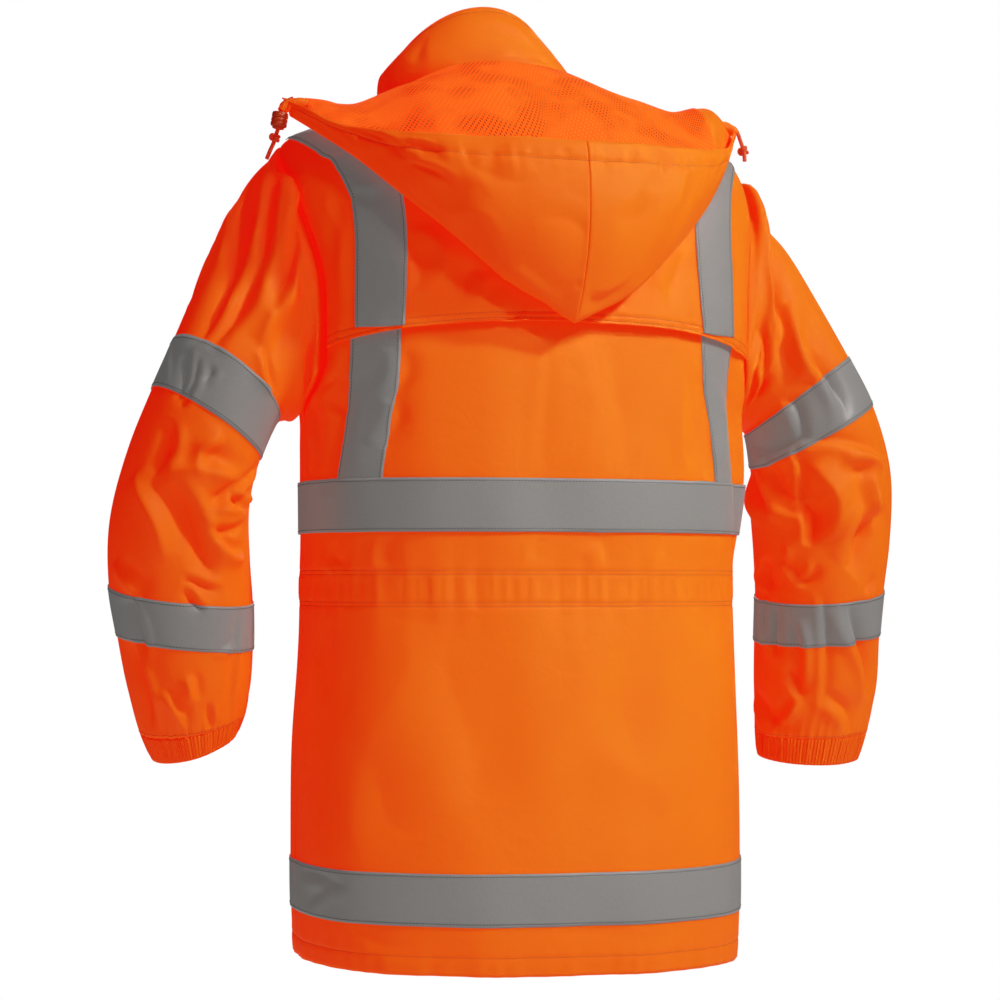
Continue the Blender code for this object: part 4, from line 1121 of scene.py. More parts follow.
def sleeve_surface(side):
    """A function of distance round, from the top of the sleeve towards the back, and distance down."""
    rings = arm_rings(side)
    means = np.linalg.norm(np.diff(rings, axis=0), axis=2).mean(axis=1)
    knots = np.concatenate([[0], np.cumsum(means)])
    fine = np.linspace(0, knots[-1], SLEEVE_ROWS)
    table = smooth_through(knots, rings, fine)
    table = np.concatenate([table, table[:, :1]], axis=1)
    slopes = np.diff(table, axis=0) / (fine[1] - fine[0])
    places = dict(zip(("armhole", "strip", *ARM_RINGS), knots))

    def plain(across, down):
        row = np.clip(down / knots[-1], 0, 1) * (len(fine) - 1.001)
        column = (across / ARM_ROUND % 1) * ARM_POINTS
        whole = np.floor(row).astype(int), np.minimum(np.floor(column).astype(int), ARM_POINTS - 1)
        past = np.maximum(down - knots[-1], 0) + np.minimum(down, 0)
        return (read_table(table, row, column) + slopes[whole] * past[..., None]) * (side, 1, 1)

    def surface(across, down):
        across, down = as_grids(across, down)
        normal = normals_of(plain, across, down, side, COARSE_STEP)
        turns = across / ARM_ROUND
        height = crease_height(SLEEVE_CREASES[side], across, down, ARM_ROUND)
        height = height + low_waves(np.cos(turns * 2 * np.pi) * WAVE_SWING, down, 20 + side, SLEEVE_WAVES)
        behind = turns % 1 < 0.5
        level = LEVELS["shoulder_tip"] + (LEVELS["armpit"] - LEVELS["shoulder_tip"]) * (turns % 1) * 2
        height = height * ramp(down, 0, SEAM_CALM_REACH) + behind * valley(down, level, side)
        gather = ramp(down, places["cuff_seam"] - GATHER_REACH, places["cuff_seam"])
        height = height * (1 - GATHER_FLATTENING * gather)
        smooth_end = np.clip((places["cuff_end"] - down) / CUFF_EDGE_REACH, CUFF_EDGE_SHARE, 1)
        gathers = ripple(across, ARM_ROUND / GATHERS_ROUND, 0.7 * side)
        height = height + gather * smooth_end * GATHER_HEIGHT * gathers
        return plain(across, down) + normal * height[..., None]

    surface.turn = side
    surface.places = places
    return surface


SLEEVES = {side: sleeve_surface(side) for side in (1, -1)}
print("sleeve length", round(SLEEVES[1].places["cuff_end"], 3), "m")

# %% [markdown]
# The sleeves stop at their cuffs. A cuff is a short double band, gathered by elastic. Its gathers are too
# fine for the mesh, so its material has ribs. Two tapes go round each sleeve.

# %% Sleeves, cuffs and their tapes
CUFF_WALL = 0.0026
CUFF_ROWS = 12
ring_round = np.linspace(0, ARM_ROUND, ARM_POINTS, endpoint=False)[None, :]
closed_round = np.linspace(0, ARM_ROUND, 140)
for side, hand in HANDS:
    surface = SLEEVES[side]
    place = surface.places
    down = rows_between(0, place["cuff_seam"] - 0.0003, 0.0032)
    panel("sleeve_" + hand + "_cloth", "sleeve_" + hand, surface, ring_round, down, closed=True)
    down = np.linspace(place["cuff_seam"] + 0.0003, place["cuff_end"], CUFF_ROWS)[:, None]
    panel("cuff_" + hand + "_cloth", "cuff_" + hand, surface, ring_round, down, material=GATHERED_CLOTH,
          wall=CUFF_WALL, closed=True)
    for name, node in (("upper", "upper_arm_tape_"), ("forearm", "forearm_tape_")):
        top, bottom = place[name + "_tape_top"], place[name + "_tape_bottom"]
        down = np.linspace(top, bottom, TAPE_ROWS)[:, None]
        panel(node + hand + "_cloth", node + hand, surface, ring_round, down, TAPE,
              np.full((TAPE_ROWS, ARM_POINTS), TAPE_LIFT), TAPE_WALL, tape_over, closed=True)
        for share in STITCH_SHARES:
            stitch_line(surface, closed_round, top + (bottom - top) * share, "grey", TAPE_LIFT + THREAD_LIFT)
print(len(made), "cloth pieces so far")

# %% [markdown]
# The collar stands up round the neck and is open at the front, where the zip runs up it.

# %% Collar
collar_stitch_down = DOWN["collar_top"] + 0.006
collar_down = rows_between(DOWN["collar_top"], down_of(LEVELS["neck"] - 0.05), 0.0030, (collar_stitch_down,))
COLLAR_CREASES = (
    (54, 61, 3, 58, 10, -2.8),
    (12, 24, -55, 28, 8, 2.4),
    (93, 44, 65, 30, 8, -2.4),
    (-16, 64, -72, 54, 6, -2.4),
)


def collar_surface(across, down):
    """Distances round from the centre back; past the side line they carry on along the front."""
    across, down = as_grids(across, down)
    level = level_of(down)
    half = np.interp(level, ring_levels, quarters["back"][1])
    front_half = np.interp(level, ring_levels, quarters["front"][1])
    behind = np.abs(across) <= half
    sign = np.where(across < 0, -1, 1)
    back = ring_point("back", np.where(behind, across, sign * half), down)
    front = ring_point("front", sign * np.maximum(front_half - (np.abs(across) - half), 0.0), down)
    return np.where(behind[..., None], back, front)


def collar_cloth_surface(across, down):
    normal = normals_of(collar_surface, across, down, -1, 0.003)
    groove = SINK * band(down, collar_stitch_down, SINK_HALF_WIDTH)
    height = crease_height(COLLAR_CREASES, across, down) - groove
    return collar_surface(across, down) + normal * np.asarray(height)[..., None]


collar_cloth_surface.turn = -1
collar_level = level_of(collar_down)
collar_half = (
    np.interp(collar_level, ring_levels, quarters["back"][1])
    + np.interp(collar_level, ring_levels, quarters["front"][1]) - ZIP_HALF_GAP
)
panel("collar_cloth", "collar", collar_cloth_surface, spread(collar_half, -collar_half, 0.0034), collar_down,
      wall=0.0014)
print("collar", round(2 * float(collar_half[0, 0]), 3), "m round its top edge")

# %% [markdown]
# The hood lies down on the back as a pouch. Each of its sections runs from the neck edge down the inner
# layer, round the bottom fold and up the outer layer to the lip.

# %% Hood: sections
HOOD_COLUMNS = (
    "across", "neck_x", "neck_y", "neck_z", "fold_x", "fold_y", "fold_z", "lip_x", "lip_y", "lip_z",
    "inner_bulge", "outer_bulge",
)
HOOD_SECTIONS = (
    (0.00, 0.000, 0.016, 0.031, 0.000, 0.184, -0.243, 0.000, 0.216, -0.080, 0.057, 0.022),
    (0.25, 0.055, 0.006, 0.027, 0.055, 0.184, -0.214, 0.062, 0.207, -0.078, 0.057, 0.020),
    (0.50, 0.112, -0.030, 0.005, 0.108, 0.172, -0.166, 0.121, 0.183, -0.075, 0.056, 0.016),
    (0.70, 0.158, -0.030, -0.014, 0.150, 0.143, -0.124, 0.164, 0.145, -0.067, 0.045, 0.010),
    (0.86, 0.196, -0.020, -0.015, 0.186, 0.104, -0.083, 0.196, 0.096, -0.052, 0.039, 0.006),
    (1.00, 0.226, -0.006, -0.012, 0.226, 0.035, -0.037, 0.228, 0.034, -0.022, 0.006, 0.003),
)
HOOD_FOLD_RADIUS = 0.009
HOOD_REACH = {1: 1.05, -1: 0.962}
HOOD_SPAN = 0.30
LEFT_FLATTENING = 0.5
HOOD_COLUMN_COUNT = 90
LAYER_ROWS = 60
FOLD_ROWS = 12


def bulged(first, last, bulge, out, share):
    """Rows of points from the first ones to the last, bulging out between them."""
    chord = last - first
    push = np.stack([np.zeros(len(chord)), -chord[:, 2], chord[:, 1]], axis=1)
    push /= np.linalg.norm(push, axis=1, keepdims=True)
    push *= np.sign(push @ np.array(out))[:, None]
    share = share[:, None, None]
    return first + chord * share + push * (bulge[:, None] * 4) * share * (1 - share)


def hood_table(side):
    """Points of the hood on one side: a row to a distance down, a column to a distance out from the middle."""
    shares = np.linspace(0, 1, HOOD_COLUMN_COUNT)
    rows = np.array(HOOD_SECTIONS)
    section = dict(zip(HOOD_COLUMNS, smooth_rows(rows, np.interp(shares, rows[:, 0], np.arange(len(rows)))).T))
    section["neck_x"] = section["neck_x"] + side * NECK_LEAN / 2 * (1 - shares)
    flattening = LEFT_FLATTENING * (side > 0) * np.clip((shares - 0.5) / 0.3, 0, 1)
    section["inner_bulge"] = section["inner_bulge"] * (1 - flattening)
    neck, fold, lip = (
        np.stack([section[end + "_" + axis] for axis in "xyz"], axis=1) for end in ("neck", "fold", "lip")
    )
    radius = (HOOD_FOLD_RADIUS * (1 - 0.5 * shares))[:, None]
    inner_end = fold + radius * (0, -1, 0.7)
    outer_start = fold + radius * (0, 1, 0.7)
    even = np.linspace(0, 1, LAYER_ROWS)
    inner = bulged(neck, inner_end, section["inner_bulge"], (0, 1, 1), even)
    outer = bulged(outer_start, lip, section["outer_bulge"], (0, 1, -1), even)
    t = np.linspace(0, 1, FOLD_ROWS + 2)[1:-1, None, None]
    low = fold + (fold - (inner_end + outer_start) / 2)
    bottom = inner_end * (1 - t) ** 2 + 2 * low * t * (1 - t) + outer_start * t**2
    reach = (1 + (HOOD_REACH[side] - 1) * shares)[None, :, None]
    points = np.concatenate([inner, bottom, outer])
    return np.concatenate([points[..., :1] * side * reach, points[..., 1:]], axis=-1)


hood_sides = {side: hood_table(side) for side in (1, -1)}
hood_points = np.concatenate([hood_sides[-1][:, :0:-1], hood_sides[1]], axis=1)
hood_steps = np.linalg.norm(np.diff(hood_points, axis=0), axis=2).max(axis=1)
hood_rows = np.concatenate([[0], np.cumsum(hood_steps)])
HOOD_LIP = float(hood_rows[-1])
HOOD_FOLD = float(hood_rows[LAYER_ROWS + FOLD_ROWS // 2 - 1])
print("hood", round(HOOD_FOLD, 3), "m down to its fold and", round(HOOD_LIP - HOOD_FOLD, 3), "m up to its lip")

# %% [markdown]
# Over that form go the hood's creases, the groove of its middle seam, and the rim: a stitched casing with a
# round lip, puckered by its drawcord. The outer layer is shorter towards the sides, so distances there are
# stretched to keep the casing one width.

# %% Hood: surface
HOOD_CREASES = (
    (198, 497, 161, 487, 7, -3.2), (195, 449, 155, 431, 10, -4),
    (180, 380, 103, 418, 16, 3.2), (133, 469, 39, 487, 14, -2.2),
    (35, 518, 27, 508, 4, -1.8), (-52, 521, -57, 500, 5, -2.3),
    (-78, 518, -110, 500, 5, -2.3), (29, 383, -1, 391, 3.5, -1.6),
    (20, 385, 10, 383, 3, 1.4), (-14, 371, -67, 368, 7, -3.2),
    (91, 347, 27, 355, 10, -4), (-42, 436, -84, 464, 14, -2.5),
    (59, 442, -1, 441, 10, -1.8), (238, 505, 195, 449, 12, -3.2),
    (-140, 487, -110, 431, 12, 2.9),
)


def hood_plain(across, down):
    """Distances out from the hood's middle seam, and down the inner layer, round the fold and up to the lip."""
    row = np.minimum(np.interp(down, hood_rows, np.arange(len(hood_rows))), len(hood_rows) - 1.001)
    column = np.clip(across / HOOD_SPAN * 0.5 + 0.5, 0, 1) * (hood_points.shape[1] - 1.001)
    return read_table(hood_points, row, column)


RIM_LINE = 0.020
LONGEST_STRETCH = 5
outer_lengths = np.linalg.norm(np.diff(hood_points[LAYER_ROWS + FOLD_ROWS // 2:], axis=0), axis=2).sum(axis=0)


def rim_stretch(across):
    """How much longer the outer layer is in the middle than here."""
    column = np.clip(np.asarray(across) / HOOD_SPAN * 0.5 + 0.5, 0, 1) * (len(outer_lengths) - 1)
    here = np.interp(column, np.arange(len(outer_lengths)), outer_lengths)
    return np.clip(outer_lengths.max() / here, 1, LONGEST_STRETCH)


OUTER_REACH = 0.02
HOOD_WAVES = 0.0010
MIDDLE_SEAM, MIDDLE_SEAM_HALF_WIDTH = 0.0006, 0.0020
RIM_SEAM, RIM_SEAM_HALF_WIDTH = 0.0012, 0.0022
RIM_PUCKERS, RIM_PUCKER_REACH = 0.0010, 0.012
ROUND_LIP, LIP_MIDDLE, LIP_REACH = 0.0010, 0.009, 0.008


def hood_surface(across, down):
    across, down = as_grids(across, down)
    normal = normals_of(hood_plain, across, down, 1, COARSE_STEP)
    stretch = rim_stretch(across)
    rim = HOOD_LIP - RIM_LINE * stretch
    waves = low_waves(across, down, 31, HOOD_WAVES)
    middle_seam = MIDDLE_SEAM * band(across, 0.0, MIDDLE_SEAM_HALF_WIDTH)
    rim_seam = RIM_SEAM * band(down, rim, RIM_SEAM_HALF_WIDTH * stretch)
    pucker = 0.5 * ripple(across, 0.017, 1.3) + ripple(across + 0.4 * (down - rim), 0.039, 2.1)
    puckers = RIM_PUCKERS * pucker * band(down, rim, RIM_PUCKER_REACH * stretch)
    round_lip = ROUND_LIP * band(down, HOOD_LIP - LIP_MIDDLE * stretch, LIP_REACH * stretch)
    outer = ramp(down, HOOD_FOLD, HOOD_FOLD + OUTER_REACH)
    height = crease_height(HOOD_CREASES, across, down)
    height = height + outer * (waves - middle_seam - rim_seam + puckers + round_lip)
    ends = ramp(np.abs(across), HOOD_SPAN, HOOD_SPAN - OUTER_REACH)
    return hood_plain(across, down) + normal * (height * ends)[..., None]


hood_surface.turn = 1
print(len(HOOD_CREASES), "creases on the hood")

# %% [markdown]
# The shell's two halves meet at a middle seam. Inside lie the mesh lining and, along the lip, an orange
# facing.

# %% Hood: shell, lining and facing
HALF_SEAM_GAP = 0.0002
HOOD_WALL = 0.0013
INNER_WALL = 0.0008
LINING_DEPTH = -0.0022
FACING_DEPTH = -0.0034
hood_down = rows_between(0, HOOD_LIP, 0.0036, (HOOD_LIP - RIM_LINE,))
half_hood = np.linspace(0, 1, 84)[None, :]
for side, hand in HANDS:
    across = side * (HALF_SEAM_GAP + (HOOD_SPAN - HALF_SEAM_GAP) * half_hood)
    across = across if side > 0 else across[:, ::-1]
    panel("hood_" + hand + "_cloth", "hood_" + hand, hood_surface, across, hood_down, wall=HOOD_WALL)
lining_across = np.linspace(-0.80, 0.93, 120)[None, :] * HOOD_SPAN
lining_down = rows_between(0, HOOD_LIP - 0.012, 0.0048)
panel("hood_lining_mesh", "hood_lining", hood_surface, lining_across, lining_down, MESH,
      np.full((len(lining_down), lining_across.shape[1]), LINING_DEPTH), INNER_WALL)
facing_down = np.linspace(HOOD_LIP - 0.026, HOOD_LIP - 0.0004, 12)[:, None]
facing_across = np.linspace(-0.985, 0.985, 190)[None, :] * HOOD_SPAN
panel("hood_facing_cloth", "hood_facing", hood_surface, facing_across, facing_down,
      lift=np.full((len(facing_down), facing_across.shape[1]), FACING_DEPTH), wall=INNER_WALL)
print(made["hood_left_cloth"], "faces on a side of the hood")

# %% [markdown]
# Teeth and stitches repeat along lines, so one kind of Geometry Nodes tree makes both. It turns a line of
# edges into a curve, puts a small shape at each step along it, turned along the curve, and makes the copies
# real.

# %% Repeats along a line: one tree for stitches and teeth
def socket_of(tree, name):
    return next(item.identifier for item in tree.interface.items_tree if item.name == name)


def repeat_tree(name, shape_kind, across_body):
    """A tree that puts a small shape at each step along the edges of a mesh."""
    tree = bpy.data.node_groups.new(name, "GeometryNodeTree")
    for socket, kind in (("Lines", "Geometry"), ("Pitch", "Float"), ("Size", "Vector"), ("Finish", "Material")):
        tree.interface.new_socket(socket, in_out="INPUT", socket_type="NodeSocket" + kind)
    tree.interface.new_socket("Pieces", in_out="OUTPUT", socket_type="NodeSocketGeometry")
    given = tree.nodes.new("NodeGroupInput")
    curve = add_node(tree, "GeometryNodeMeshToCurve", {"Mesh": given.outputs["Lines"]})
    points = add_node(tree, "GeometryNodeCurveToPoints", {
        "Curve": curve.outputs[0], "Length": given.outputs["Pitch"],
    }, mode="LENGTH")
    turned = points.outputs["Rotation"]
    if across_body:
        turned = add_node(tree, "FunctionNodeAlignRotationToVector", {
            "Rotation": turned, "Vector": (1, 0, 0),
        }, axis="X", pivot_axis="Z").outputs[0]
    shape = add_node(tree, shape_kind)
    placed = add_node(tree, "GeometryNodeInstanceOnPoints", {
        "Points": points.outputs["Points"], "Instance": shape.outputs["Mesh"],
        "Rotation": turned, "Scale": given.outputs["Size"],
    })
    real = add_node(tree, "GeometryNodeRealizeInstances", {"Geometry": placed.outputs[0]})
    smooth = add_node(tree, "GeometryNodeSetShadeSmooth", {
        "Geometry": real.outputs[0], "Shade Smooth": not across_body,
    })
    painted = add_node(tree, "GeometryNodeSetMaterial", {
        "Geometry": smooth.outputs[0], "Material": given.outputs["Finish"],
    })
    result = tree.nodes.new("NodeGroupOutput")
    tree.links.new(painted.outputs[0], result.inputs["Pieces"])
    return tree


def repeat_along(name, tree, lines, pitch, size, finish):
    """A plain mesh of the tree's shapes along each line, a list of points."""
    counts = [len(line) for line in lines]
    firsts = np.concatenate([[0], np.cumsum(counts)])[:-1]
    edges = [
        (first + step, first + step + 1) for first, count in zip(firsts, counts) for step in range(count - 1)
    ]
    source = bpy.data.meshes.new(name + "_lines")
    source.from_pydata(np.concatenate(lines).tolist(), edges, [])
    holder = add_object(name + "_lines", source)
    modifier = holder.modifiers.new("repeat", "NODES")
    modifier.node_group = tree
    modifier[socket_of(tree, "Pitch")] = pitch
    modifier[socket_of(tree, "Size")] = size
    modifier[socket_of(tree, "Finish")] = finish
    mesh = bpy.data.meshes.new_from_object(holder.evaluated_get(bpy.context.evaluated_depsgraph_get()))
    bpy.data.objects.remove(holder)
    print(name, len(mesh.polygons), "faces")
    return add_object(name, mesh)


# %% [markdown]
# The zip runs up the fronts and the collar. Its tape is cloth behind them, its two rows of moulded teeth mesh
# together, and the slider sits near the collar's top, as the zip is closed. The slider and its pull keep the
# CAD model's shape, and only get the zip's plastic.

# %% Zip
ZIP_TAPE_DEPTH = -0.0032
TOOTH_DEPTH = -0.0012
TOOTH_PITCH = 0.0025
TOOTH_PLACE = 0.0010
zip_down = rows_between(DOWN["collar_top"] + 0.001, DOWN["hem"], 0.0060)
zip_across = np.linspace(-0.015, 0.015, 7)[None, :]
panel("zip_tape_cloth", "zip_tape", FRONT, zip_across, zip_down,
      lift=np.full((len(zip_down), zip_across.shape[1]), ZIP_TAPE_DEPTH), wall=INNER_WALL)
teeth_tree = repeat_tree("zip teeth", "GeometryNodeMeshCube", True)
teeth_lines = []
for side in (1, -1):
    first_tooth = DOWN["collar_top"] + 0.003 + (side < 0) * TOOTH_PITCH / 2
    line_down = np.arange(first_tooth, DOWN["hem"] - 0.003, 0.004)
    line_across = np.full(len(line_down), side * TOOTH_PLACE)
    teeth_lines.append(lay(FRONT, line_across, line_down, np.full(len(line_down), TOOTH_DEPTH)))
teeth = repeat_along("zip_teeth", teeth_tree, teeth_lines, TOOTH_PITCH, (0.0034, 0.0024, 0.0013), ZIP_PLASTIC)
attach(teeth, BODY)
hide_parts("zip_chain")
for node in ("zip_slider", "zip_pull"):
    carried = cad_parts[node]
    carried.data.materials.clear()
    carried.data.materials.append(ZIP_PLASTIC)
print(len(teeth_lines), "rows of teeth")

# %% [markdown]
# The hood's rim casing ends in a short gathered tube at each corner, where the drawcord comes out. A table
# gives points down the middle of each tube, and how thick it is there. Its rings are a little crumpled.

# %% Casing ends
CASING_ENDS = {
    1: (
        (0.2210, 0.033, -0.0240, 0.0036), (0.2270, 0.033, -0.0236, 0.0044), (0.2345, 0.032, -0.0246, 0.0046),
        (0.2410, 0.032, -0.0280, 0.0042), (0.2448, 0.032, -0.0325, 0.0038),
    ),
    -1: (
        (-0.2060, 0.033, -0.0215, 0.0052), (-0.2120, 0.034, -0.0225, 0.0048),
        (-0.2180, 0.035, -0.0255, 0.0042), (-0.2215, 0.036, -0.0290, 0.0034),
    ),
}
CASING_SIDES = 20
CASING_ROWS = 16
CRUMPLE = 0.05


def length_of(line):
    return float(np.linalg.norm(np.diff(line, axis=0), axis=1).sum())


def unit(vectors):
    return vectors / np.maximum(np.linalg.norm(vectors, axis=1, keepdims=True), 1e-9)


def rings_round(line, along, first_way, radius, sides):
    """Rings of points square to a line, each starting out in its first way."""
    turn = np.linspace(0, 2 * math.pi, sides, endpoint=False)[None, :, None]
    other = np.cross(along, first_way)
    return line[:, None] + radius * (first_way[:, None] * np.cos(turn) + other[:, None] * np.sin(turn))


for side, hand in HANDS:
    table = smooth_rows(CASING_ENDS[side], np.linspace(0, len(CASING_ENDS[side]) - 1, CASING_ROWS))
    line = table[:, :3]
    along = unit(np.gradient(line, axis=0))
    turn = np.linspace(0, 2 * math.pi, CASING_SIDES, endpoint=False)[None, :, None]
    radius = table[:, None, 3:] * (1 + CRUMPLE * np.sin(3 * turn + np.arange(CASING_ROWS)[:, None, None]))
    points = rings_round(line, along, unit(np.cross(along, (0, 1, 0))), radius, CASING_SIDES)
    round_it = float(2 * math.pi * radius.mean())
    grid_across, grid_down = np.meshgrid(
        np.linspace(0, round_it, CASING_SIDES, endpoint=False), np.linspace(0, length_of(line), CASING_ROWS)
    )
    piece = cloth_from_points("casing_end_" + hand, points, grid_across, grid_down, 1, CLOTH, INNER_WALL, True)
    sew_on(piece, "hood_" + hand, (round_it, length_of(line)), area=area_of(points, True))
print(len(made), "cloth pieces in all")

# %% [markdown]
# The drawcord's free ends hang from the casing. On the left it passes through a spring lock and ends in a
# knot; on the right it is only knotted. Cord is a curve with a round bevel. A knot is a trefoil of the same
# cord, and the lock is a turned barrel with two grooves and a button.

# %% Drawcord, knots and cord lock: shapes
CORD_DIAMETER = 0.004
CORD_ROUTES = {
    1: ((0.2442, 0.032, -0.0250), (0.2458, 0.032, -0.0330), (0.2484, 0.031, -0.0490),
        (0.2496, 0.031, -0.0530), (0.2522, 0.030, -0.0620), (0.2558, 0.030, -0.0700),
        (0.2590, 0.030, -0.0780)),
    -1: ((-0.2222, 0.036, -0.0270), (-0.2228, 0.042, -0.0350), (-0.2228, 0.049, -0.0440),
         (-0.2225, 0.054, -0.0520), (-0.2220, 0.056, -0.0590)),
}
RIM_ENDS = {1: (0.2340, 0.032, -0.0190), -1: (-0.2150, 0.033, -0.0210)}
KNOT_SIZES = {1: (4, 0.0062), -1: (3, 0.0062)}


def cord_curve(name, route):
    positions = np.linspace(0, len(route) - 1, 26)
    points = smooth_rows(route, positions)
    data = bpy.data.curves.new(name, "CURVE")
    data.dimensions = "3D"
    data.bevel_depth = CORD_DIAMETER / 2
    data.bevel_resolution = 3
    data.use_fill_caps = True
    spline = data.splines.new("POLY")
    spline.points.add(len(points) - 1)
    for spot, point in zip(spline.points, points):
        spot.co = (*point, 1)
    data.materials.append(CORD)
    return add_object(name, data), length_of(points)


def looped_rings(name, points, count, sides, material):
    """A closed skin over a loop of rings of points."""
    faces = [
        (row * sides + side, row * sides + (side + 1) % sides, (row + 1) % count * sides + (side + 1) % sides,
         (row + 1) % count * sides + side)
        for row in range(count) for side in range(sides)
    ]
    mesh = bpy.data.meshes.new(name)
    mesh.from_pydata(np.asarray(points).tolist(), [], faces)
    build = bmesh.new()
    build.from_mesh(mesh)
    bmesh.ops.remove_doubles(build, verts=build.verts, dist=1e-6)
    bmesh.ops.recalc_face_normals(build, faces=build.faces)
    build.to_mesh(mesh)
    build.free()
    mesh.shade_smooth()
    mesh.materials.append(material)
    return add_object(name, mesh)


def turned_towards(points, upright, direction, middle):
    """Points about the origin, turned so that their upright way points along a direction, and put in place."""
    turning = Vector(upright).rotation_difference(Vector(direction)).to_matrix()
    return points @ np.array(turning).T + middle


KNOT_STEPS = 72
KNOT_CORD = 0.45 * CORD_DIAMETER
KNOT_SIDES = 10


def knot(name, middle, direction, radius):
    """A trefoil of cord about a middle, flat across its direction."""
    turn = np.linspace(0, 2 * math.pi, KNOT_STEPS, endpoint=False)
    trefoil = np.stack([
        np.sin(turn) + 2 * np.sin(2 * turn), np.cos(turn) - 2 * np.cos(2 * turn), -1.2 * np.sin(3 * turn),
    ], axis=1)
    trefoil *= (radius - KNOT_CORD) / 3
    line = turned_towards(trefoil, (0, 0, 1), direction, middle)
    along = unit(np.roll(line, -1, axis=0) - np.roll(line, 1, axis=0))
    outward = line - line.mean(axis=0)
    outward -= along * np.sum(outward * along, axis=1, keepdims=True)
    points = rings_round(line, along, unit(outward), KNOT_CORD, KNOT_SIDES)
    return looped_rings(name, points.reshape(-1, 3), KNOT_STEPS, KNOT_SIDES, CORD)


LOCK_RADIUS = 0.0078
LOCK_LENGTH = 0.016
LOCK_SIDES = 36
BORE = 0.0023
GROOVES = (-0.14, 0.10)
LOCK_BEVEL = 0.0003


def turned_barrel(name, middle, direction, radius, length):
    """A spring lock: a ribbed barrel with a button on its end, turned round the cord."""
    profile = [(BORE, -0.50), (0.80 * radius, -0.50), (0.94 * radius, -0.47), (radius, -0.40)]
    for groove in GROOVES:
        profile += [(radius, groove - 0.035), (0.91 * radius, groove - 0.015), (0.91 * radius, groove + 0.015),
                    (radius, groove + 0.035)]
    profile += [(radius, 0.30), (0.93 * radius, 0.36), (0.72 * radius, 0.38), (0.72 * radius, 0.48),
                (0.64 * radius, 0.50), (BORE, 0.50)]
    ring_turns = np.linspace(0, 2 * math.pi, LOCK_SIDES, endpoint=False)
    points = np.array([(r * math.cos(t), r * math.sin(t), -h * length) for r, h in profile for t in ring_turns])
    points = turned_towards(points, (0, 0, -1), direction, middle)
    piece = looped_rings(name, points, len(profile), LOCK_SIDES, LOCK_PLASTIC)
    bevel = piece.modifiers.new("edges", "BEVEL")
    bevel.width = LOCK_BEVEL
    bevel.segments = 2
    return piece


print("cord shapes ready")

# %% [markdown]
# Each free end starts inside the rim, where it comes out of its casing, and hangs to its tip. The knots and
# the lock sit on the cord and, like it, are hung on the body in place of the CAD model's parts.

# %% Drawcord: its two free ends
for side, hand in HANDS:
    route = np.array([RIM_ENDS[side], *CORD_ROUTES[side]])
    cord, cord_length = cord_curve("drawcord_" + hand, route)
    after, radius = KNOT_SIZES[side]
    before, beyond = route[after], route[after + 1]
    pieces = [knot("cord_knot_" + hand, (before + beyond) / 2, beyond - before, radius)]
    stands_for = ["hood_cord_knot_" + hand]
    if side > 0:
        middle, direction = (route[2] + route[3]) / 2, route[3] - route[2]
        pieces.append(turned_barrel("cord_lock", middle, direction, LOCK_RADIUS, LOCK_LENGTH))
        stands_for.append("hood_cord_lock_left")
    for piece, node, slot in zip(pieces, stands_for, ("orange_cord", "orange_plastic")):
        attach(piece, BODY)
        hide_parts(node)
    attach(cord, BODY)
    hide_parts("hood_cord_" + hand)
    print("drawcord", hand, round(cord_length, 4), "m of free end")

# %% [markdown]
# Lockstitch is what holds all this together, and it shows: double rows at the yoke's hem, four at the waist
# casing, one at the hem, round the cuffs, the collar and the hood's rim, and one inside each edge of a tape.
# Every stitch is a small thread-shaped bead, set by the same kind of tree.

# %% Stitches
STITCH_LIFT = 0.0002
STITCH_PITCH = 0.0031
STITCH_SIZE = (0.00034, 0.00034, 0.00125)
for face, surface in (("back", BACK), ("front", FRONT)):
    for line in casing_downs + [hem_stitch_down]:
        edge = float(edge_of(level_of(line), face)) - 0.001
        zip_side = ZIP_HALF_GAP + 0.004
        spans = [(-edge, edge)] if face == "back" else [(zip_side, edge), (-edge, -zip_side)]
        for first, last in spans:
            stitch_line(surface, np.linspace(first, last, 300), line, "orange", STITCH_LIFT)
for line in yoke_stitch_downs:
    edge = float(edge_of(level_of(line), "back")) - 0.004
    stitch_line(YOKE, np.linspace(-edge, edge, 160), line, "orange", STITCH_LIFT)
rim_across = np.linspace(-0.97, 0.97, 240) * HOOD_SPAN
stitch_line(hood_surface, rim_across, HOOD_LIP - RIM_LINE * rim_stretch(rim_across), "orange", STITCH_LIFT)
stitch_line(collar_cloth_surface, np.linspace(-collar_half[2, 0], collar_half[2, 0], 200) * 0.97,
            collar_stitch_down, "orange", STITCH_LIFT)
for surface in SLEEVES.values():
    stitch_line(surface, closed_round, surface.places["cuff_seam"] - 0.003, "orange", STITCH_LIFT)
stitch_tree = repeat_tree("stitches", "GeometryNodeMeshIcoSphere", False)
THREADS = (("orange", ORANGE_THREAD, "orange_cloth"), ("grey", GREY_THREAD, "reflective_tape"))
for thread, finish, slot in THREADS:
    stitches = repeat_along(thread + "_stitches", stitch_tree, seams[thread], STITCH_PITCH, STITCH_SIZE, finish)
    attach(stitches, BODY)

# %% [markdown]
# A plain studio: a round pale floor well below the hem, and surroundings that look white but give little
# light.

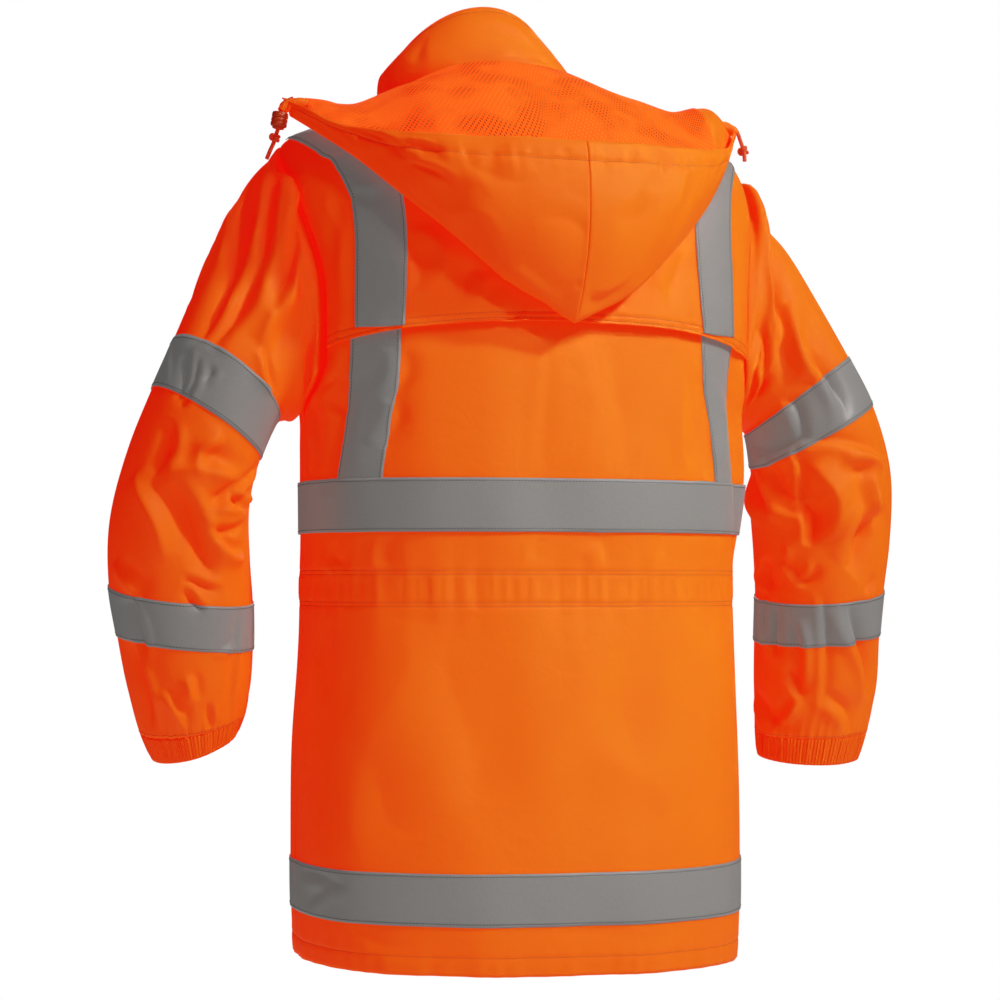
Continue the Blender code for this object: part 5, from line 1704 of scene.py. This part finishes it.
# %% Floor and surroundings
scene = bpy.context.scene
scene.view_settings.view_transform = "Standard"
FLOOR_HEIGHT = -1.6
FLOOR_RADIUS = 3.0
floor_turns = np.linspace(0, 2 * math.pi, 96)[:-1]
rim = [(FLOOR_RADIUS * math.cos(t), FLOOR_RADIUS * math.sin(t), FLOOR_HEIGHT) for t in floor_turns]
floor_mesh = bpy.data.meshes.new("floor")
floor_mesh.from_pydata(rim, [], [tuple(range(len(rim)))])
floor = add_object("floor", floor_mesh)
pale, _, pale_shader = new_material("pale floor", (0.86, 0.86, 0.86), 0.8)
set_glow(pale_shader, (1, 1, 1), 0.25)
floor_mesh.materials.append(pale)

AMBIENT = 0.012
world = bpy.data.worlds.new("surroundings")
world.use_nodes = True
world_tree = world.node_tree
background = world_tree.nodes["Background"]
background.inputs["Strength"].default_value = AMBIENT
white = add_node(world_tree, "ShaderNodeBackground", {"Color": (1, 1, 1, 1), "Strength": 1.0})
background.inputs["Color"].default_value = (1, 1, 1, 1)
either = add_node(world_tree, "ShaderNodeMixShader", {
    0: add_node(world_tree, "ShaderNodeLightPath").outputs["Is Camera Ray"],
    1: background.outputs[0], 2: white.outputs[0],
})
world_tree.links.new(either.outputs[0], world_tree.nodes["World Output"].inputs["Surface"])
scene.world = world
print("floor and surroundings")

# %% [markdown]
# Four area lights face the jacket's middle. The key light is small and bright, and comes from behind the
# back's right and above, so that creases have clear shadows. The strip is a tall lamp with a narrow beam, for
# the flat of the back. The other two are weak fills. The far side gets little light, so only the painted red
# glow of its orange shows there, deep red.

# %% Lights
AIM = Vector((0, 0, -0.4))
STRIP_TALLNESS = 2.4
LIGHTS = {
    "key": ((-1.9, 2.1, 1.9), 0.22, 98.0, 180),
    "strip": ((-1.2, 2.7, 1.4), 0.40, 0.66, 11),
    "top": ((0.0, 0.6, 2.2), 0.8, 2.5, 180),
    "far side": ((-0.9, -2.8, 0.8), 1.4, 26.0, 180),
}
for name, (place, size, power, spread_degrees) in LIGHTS.items():
    light = bpy.data.lights.new(name, "AREA")
    light.shape = "RECTANGLE"
    light.size = size
    light.size_y = STRIP_TALLNESS * size if spread_degrees < 180 else size
    light.spread = math.radians(spread_degrees)
    light.energy = power
    lamp = add_object(name, light)
    lamp.location = place
    lamp.rotation_euler = (AIM - Vector(place)).to_track_quat("-Z", "Y").to_euler()
print(len(LIGHTS), "lights")

# %% [markdown]
# Last, a count of the cloth's faces. The visual model has to stay in the CAD model's box, apart from a
# little slack for cloth.

# %% Count of faces
print(sum(made.values()), "faces of cloth before their walls")
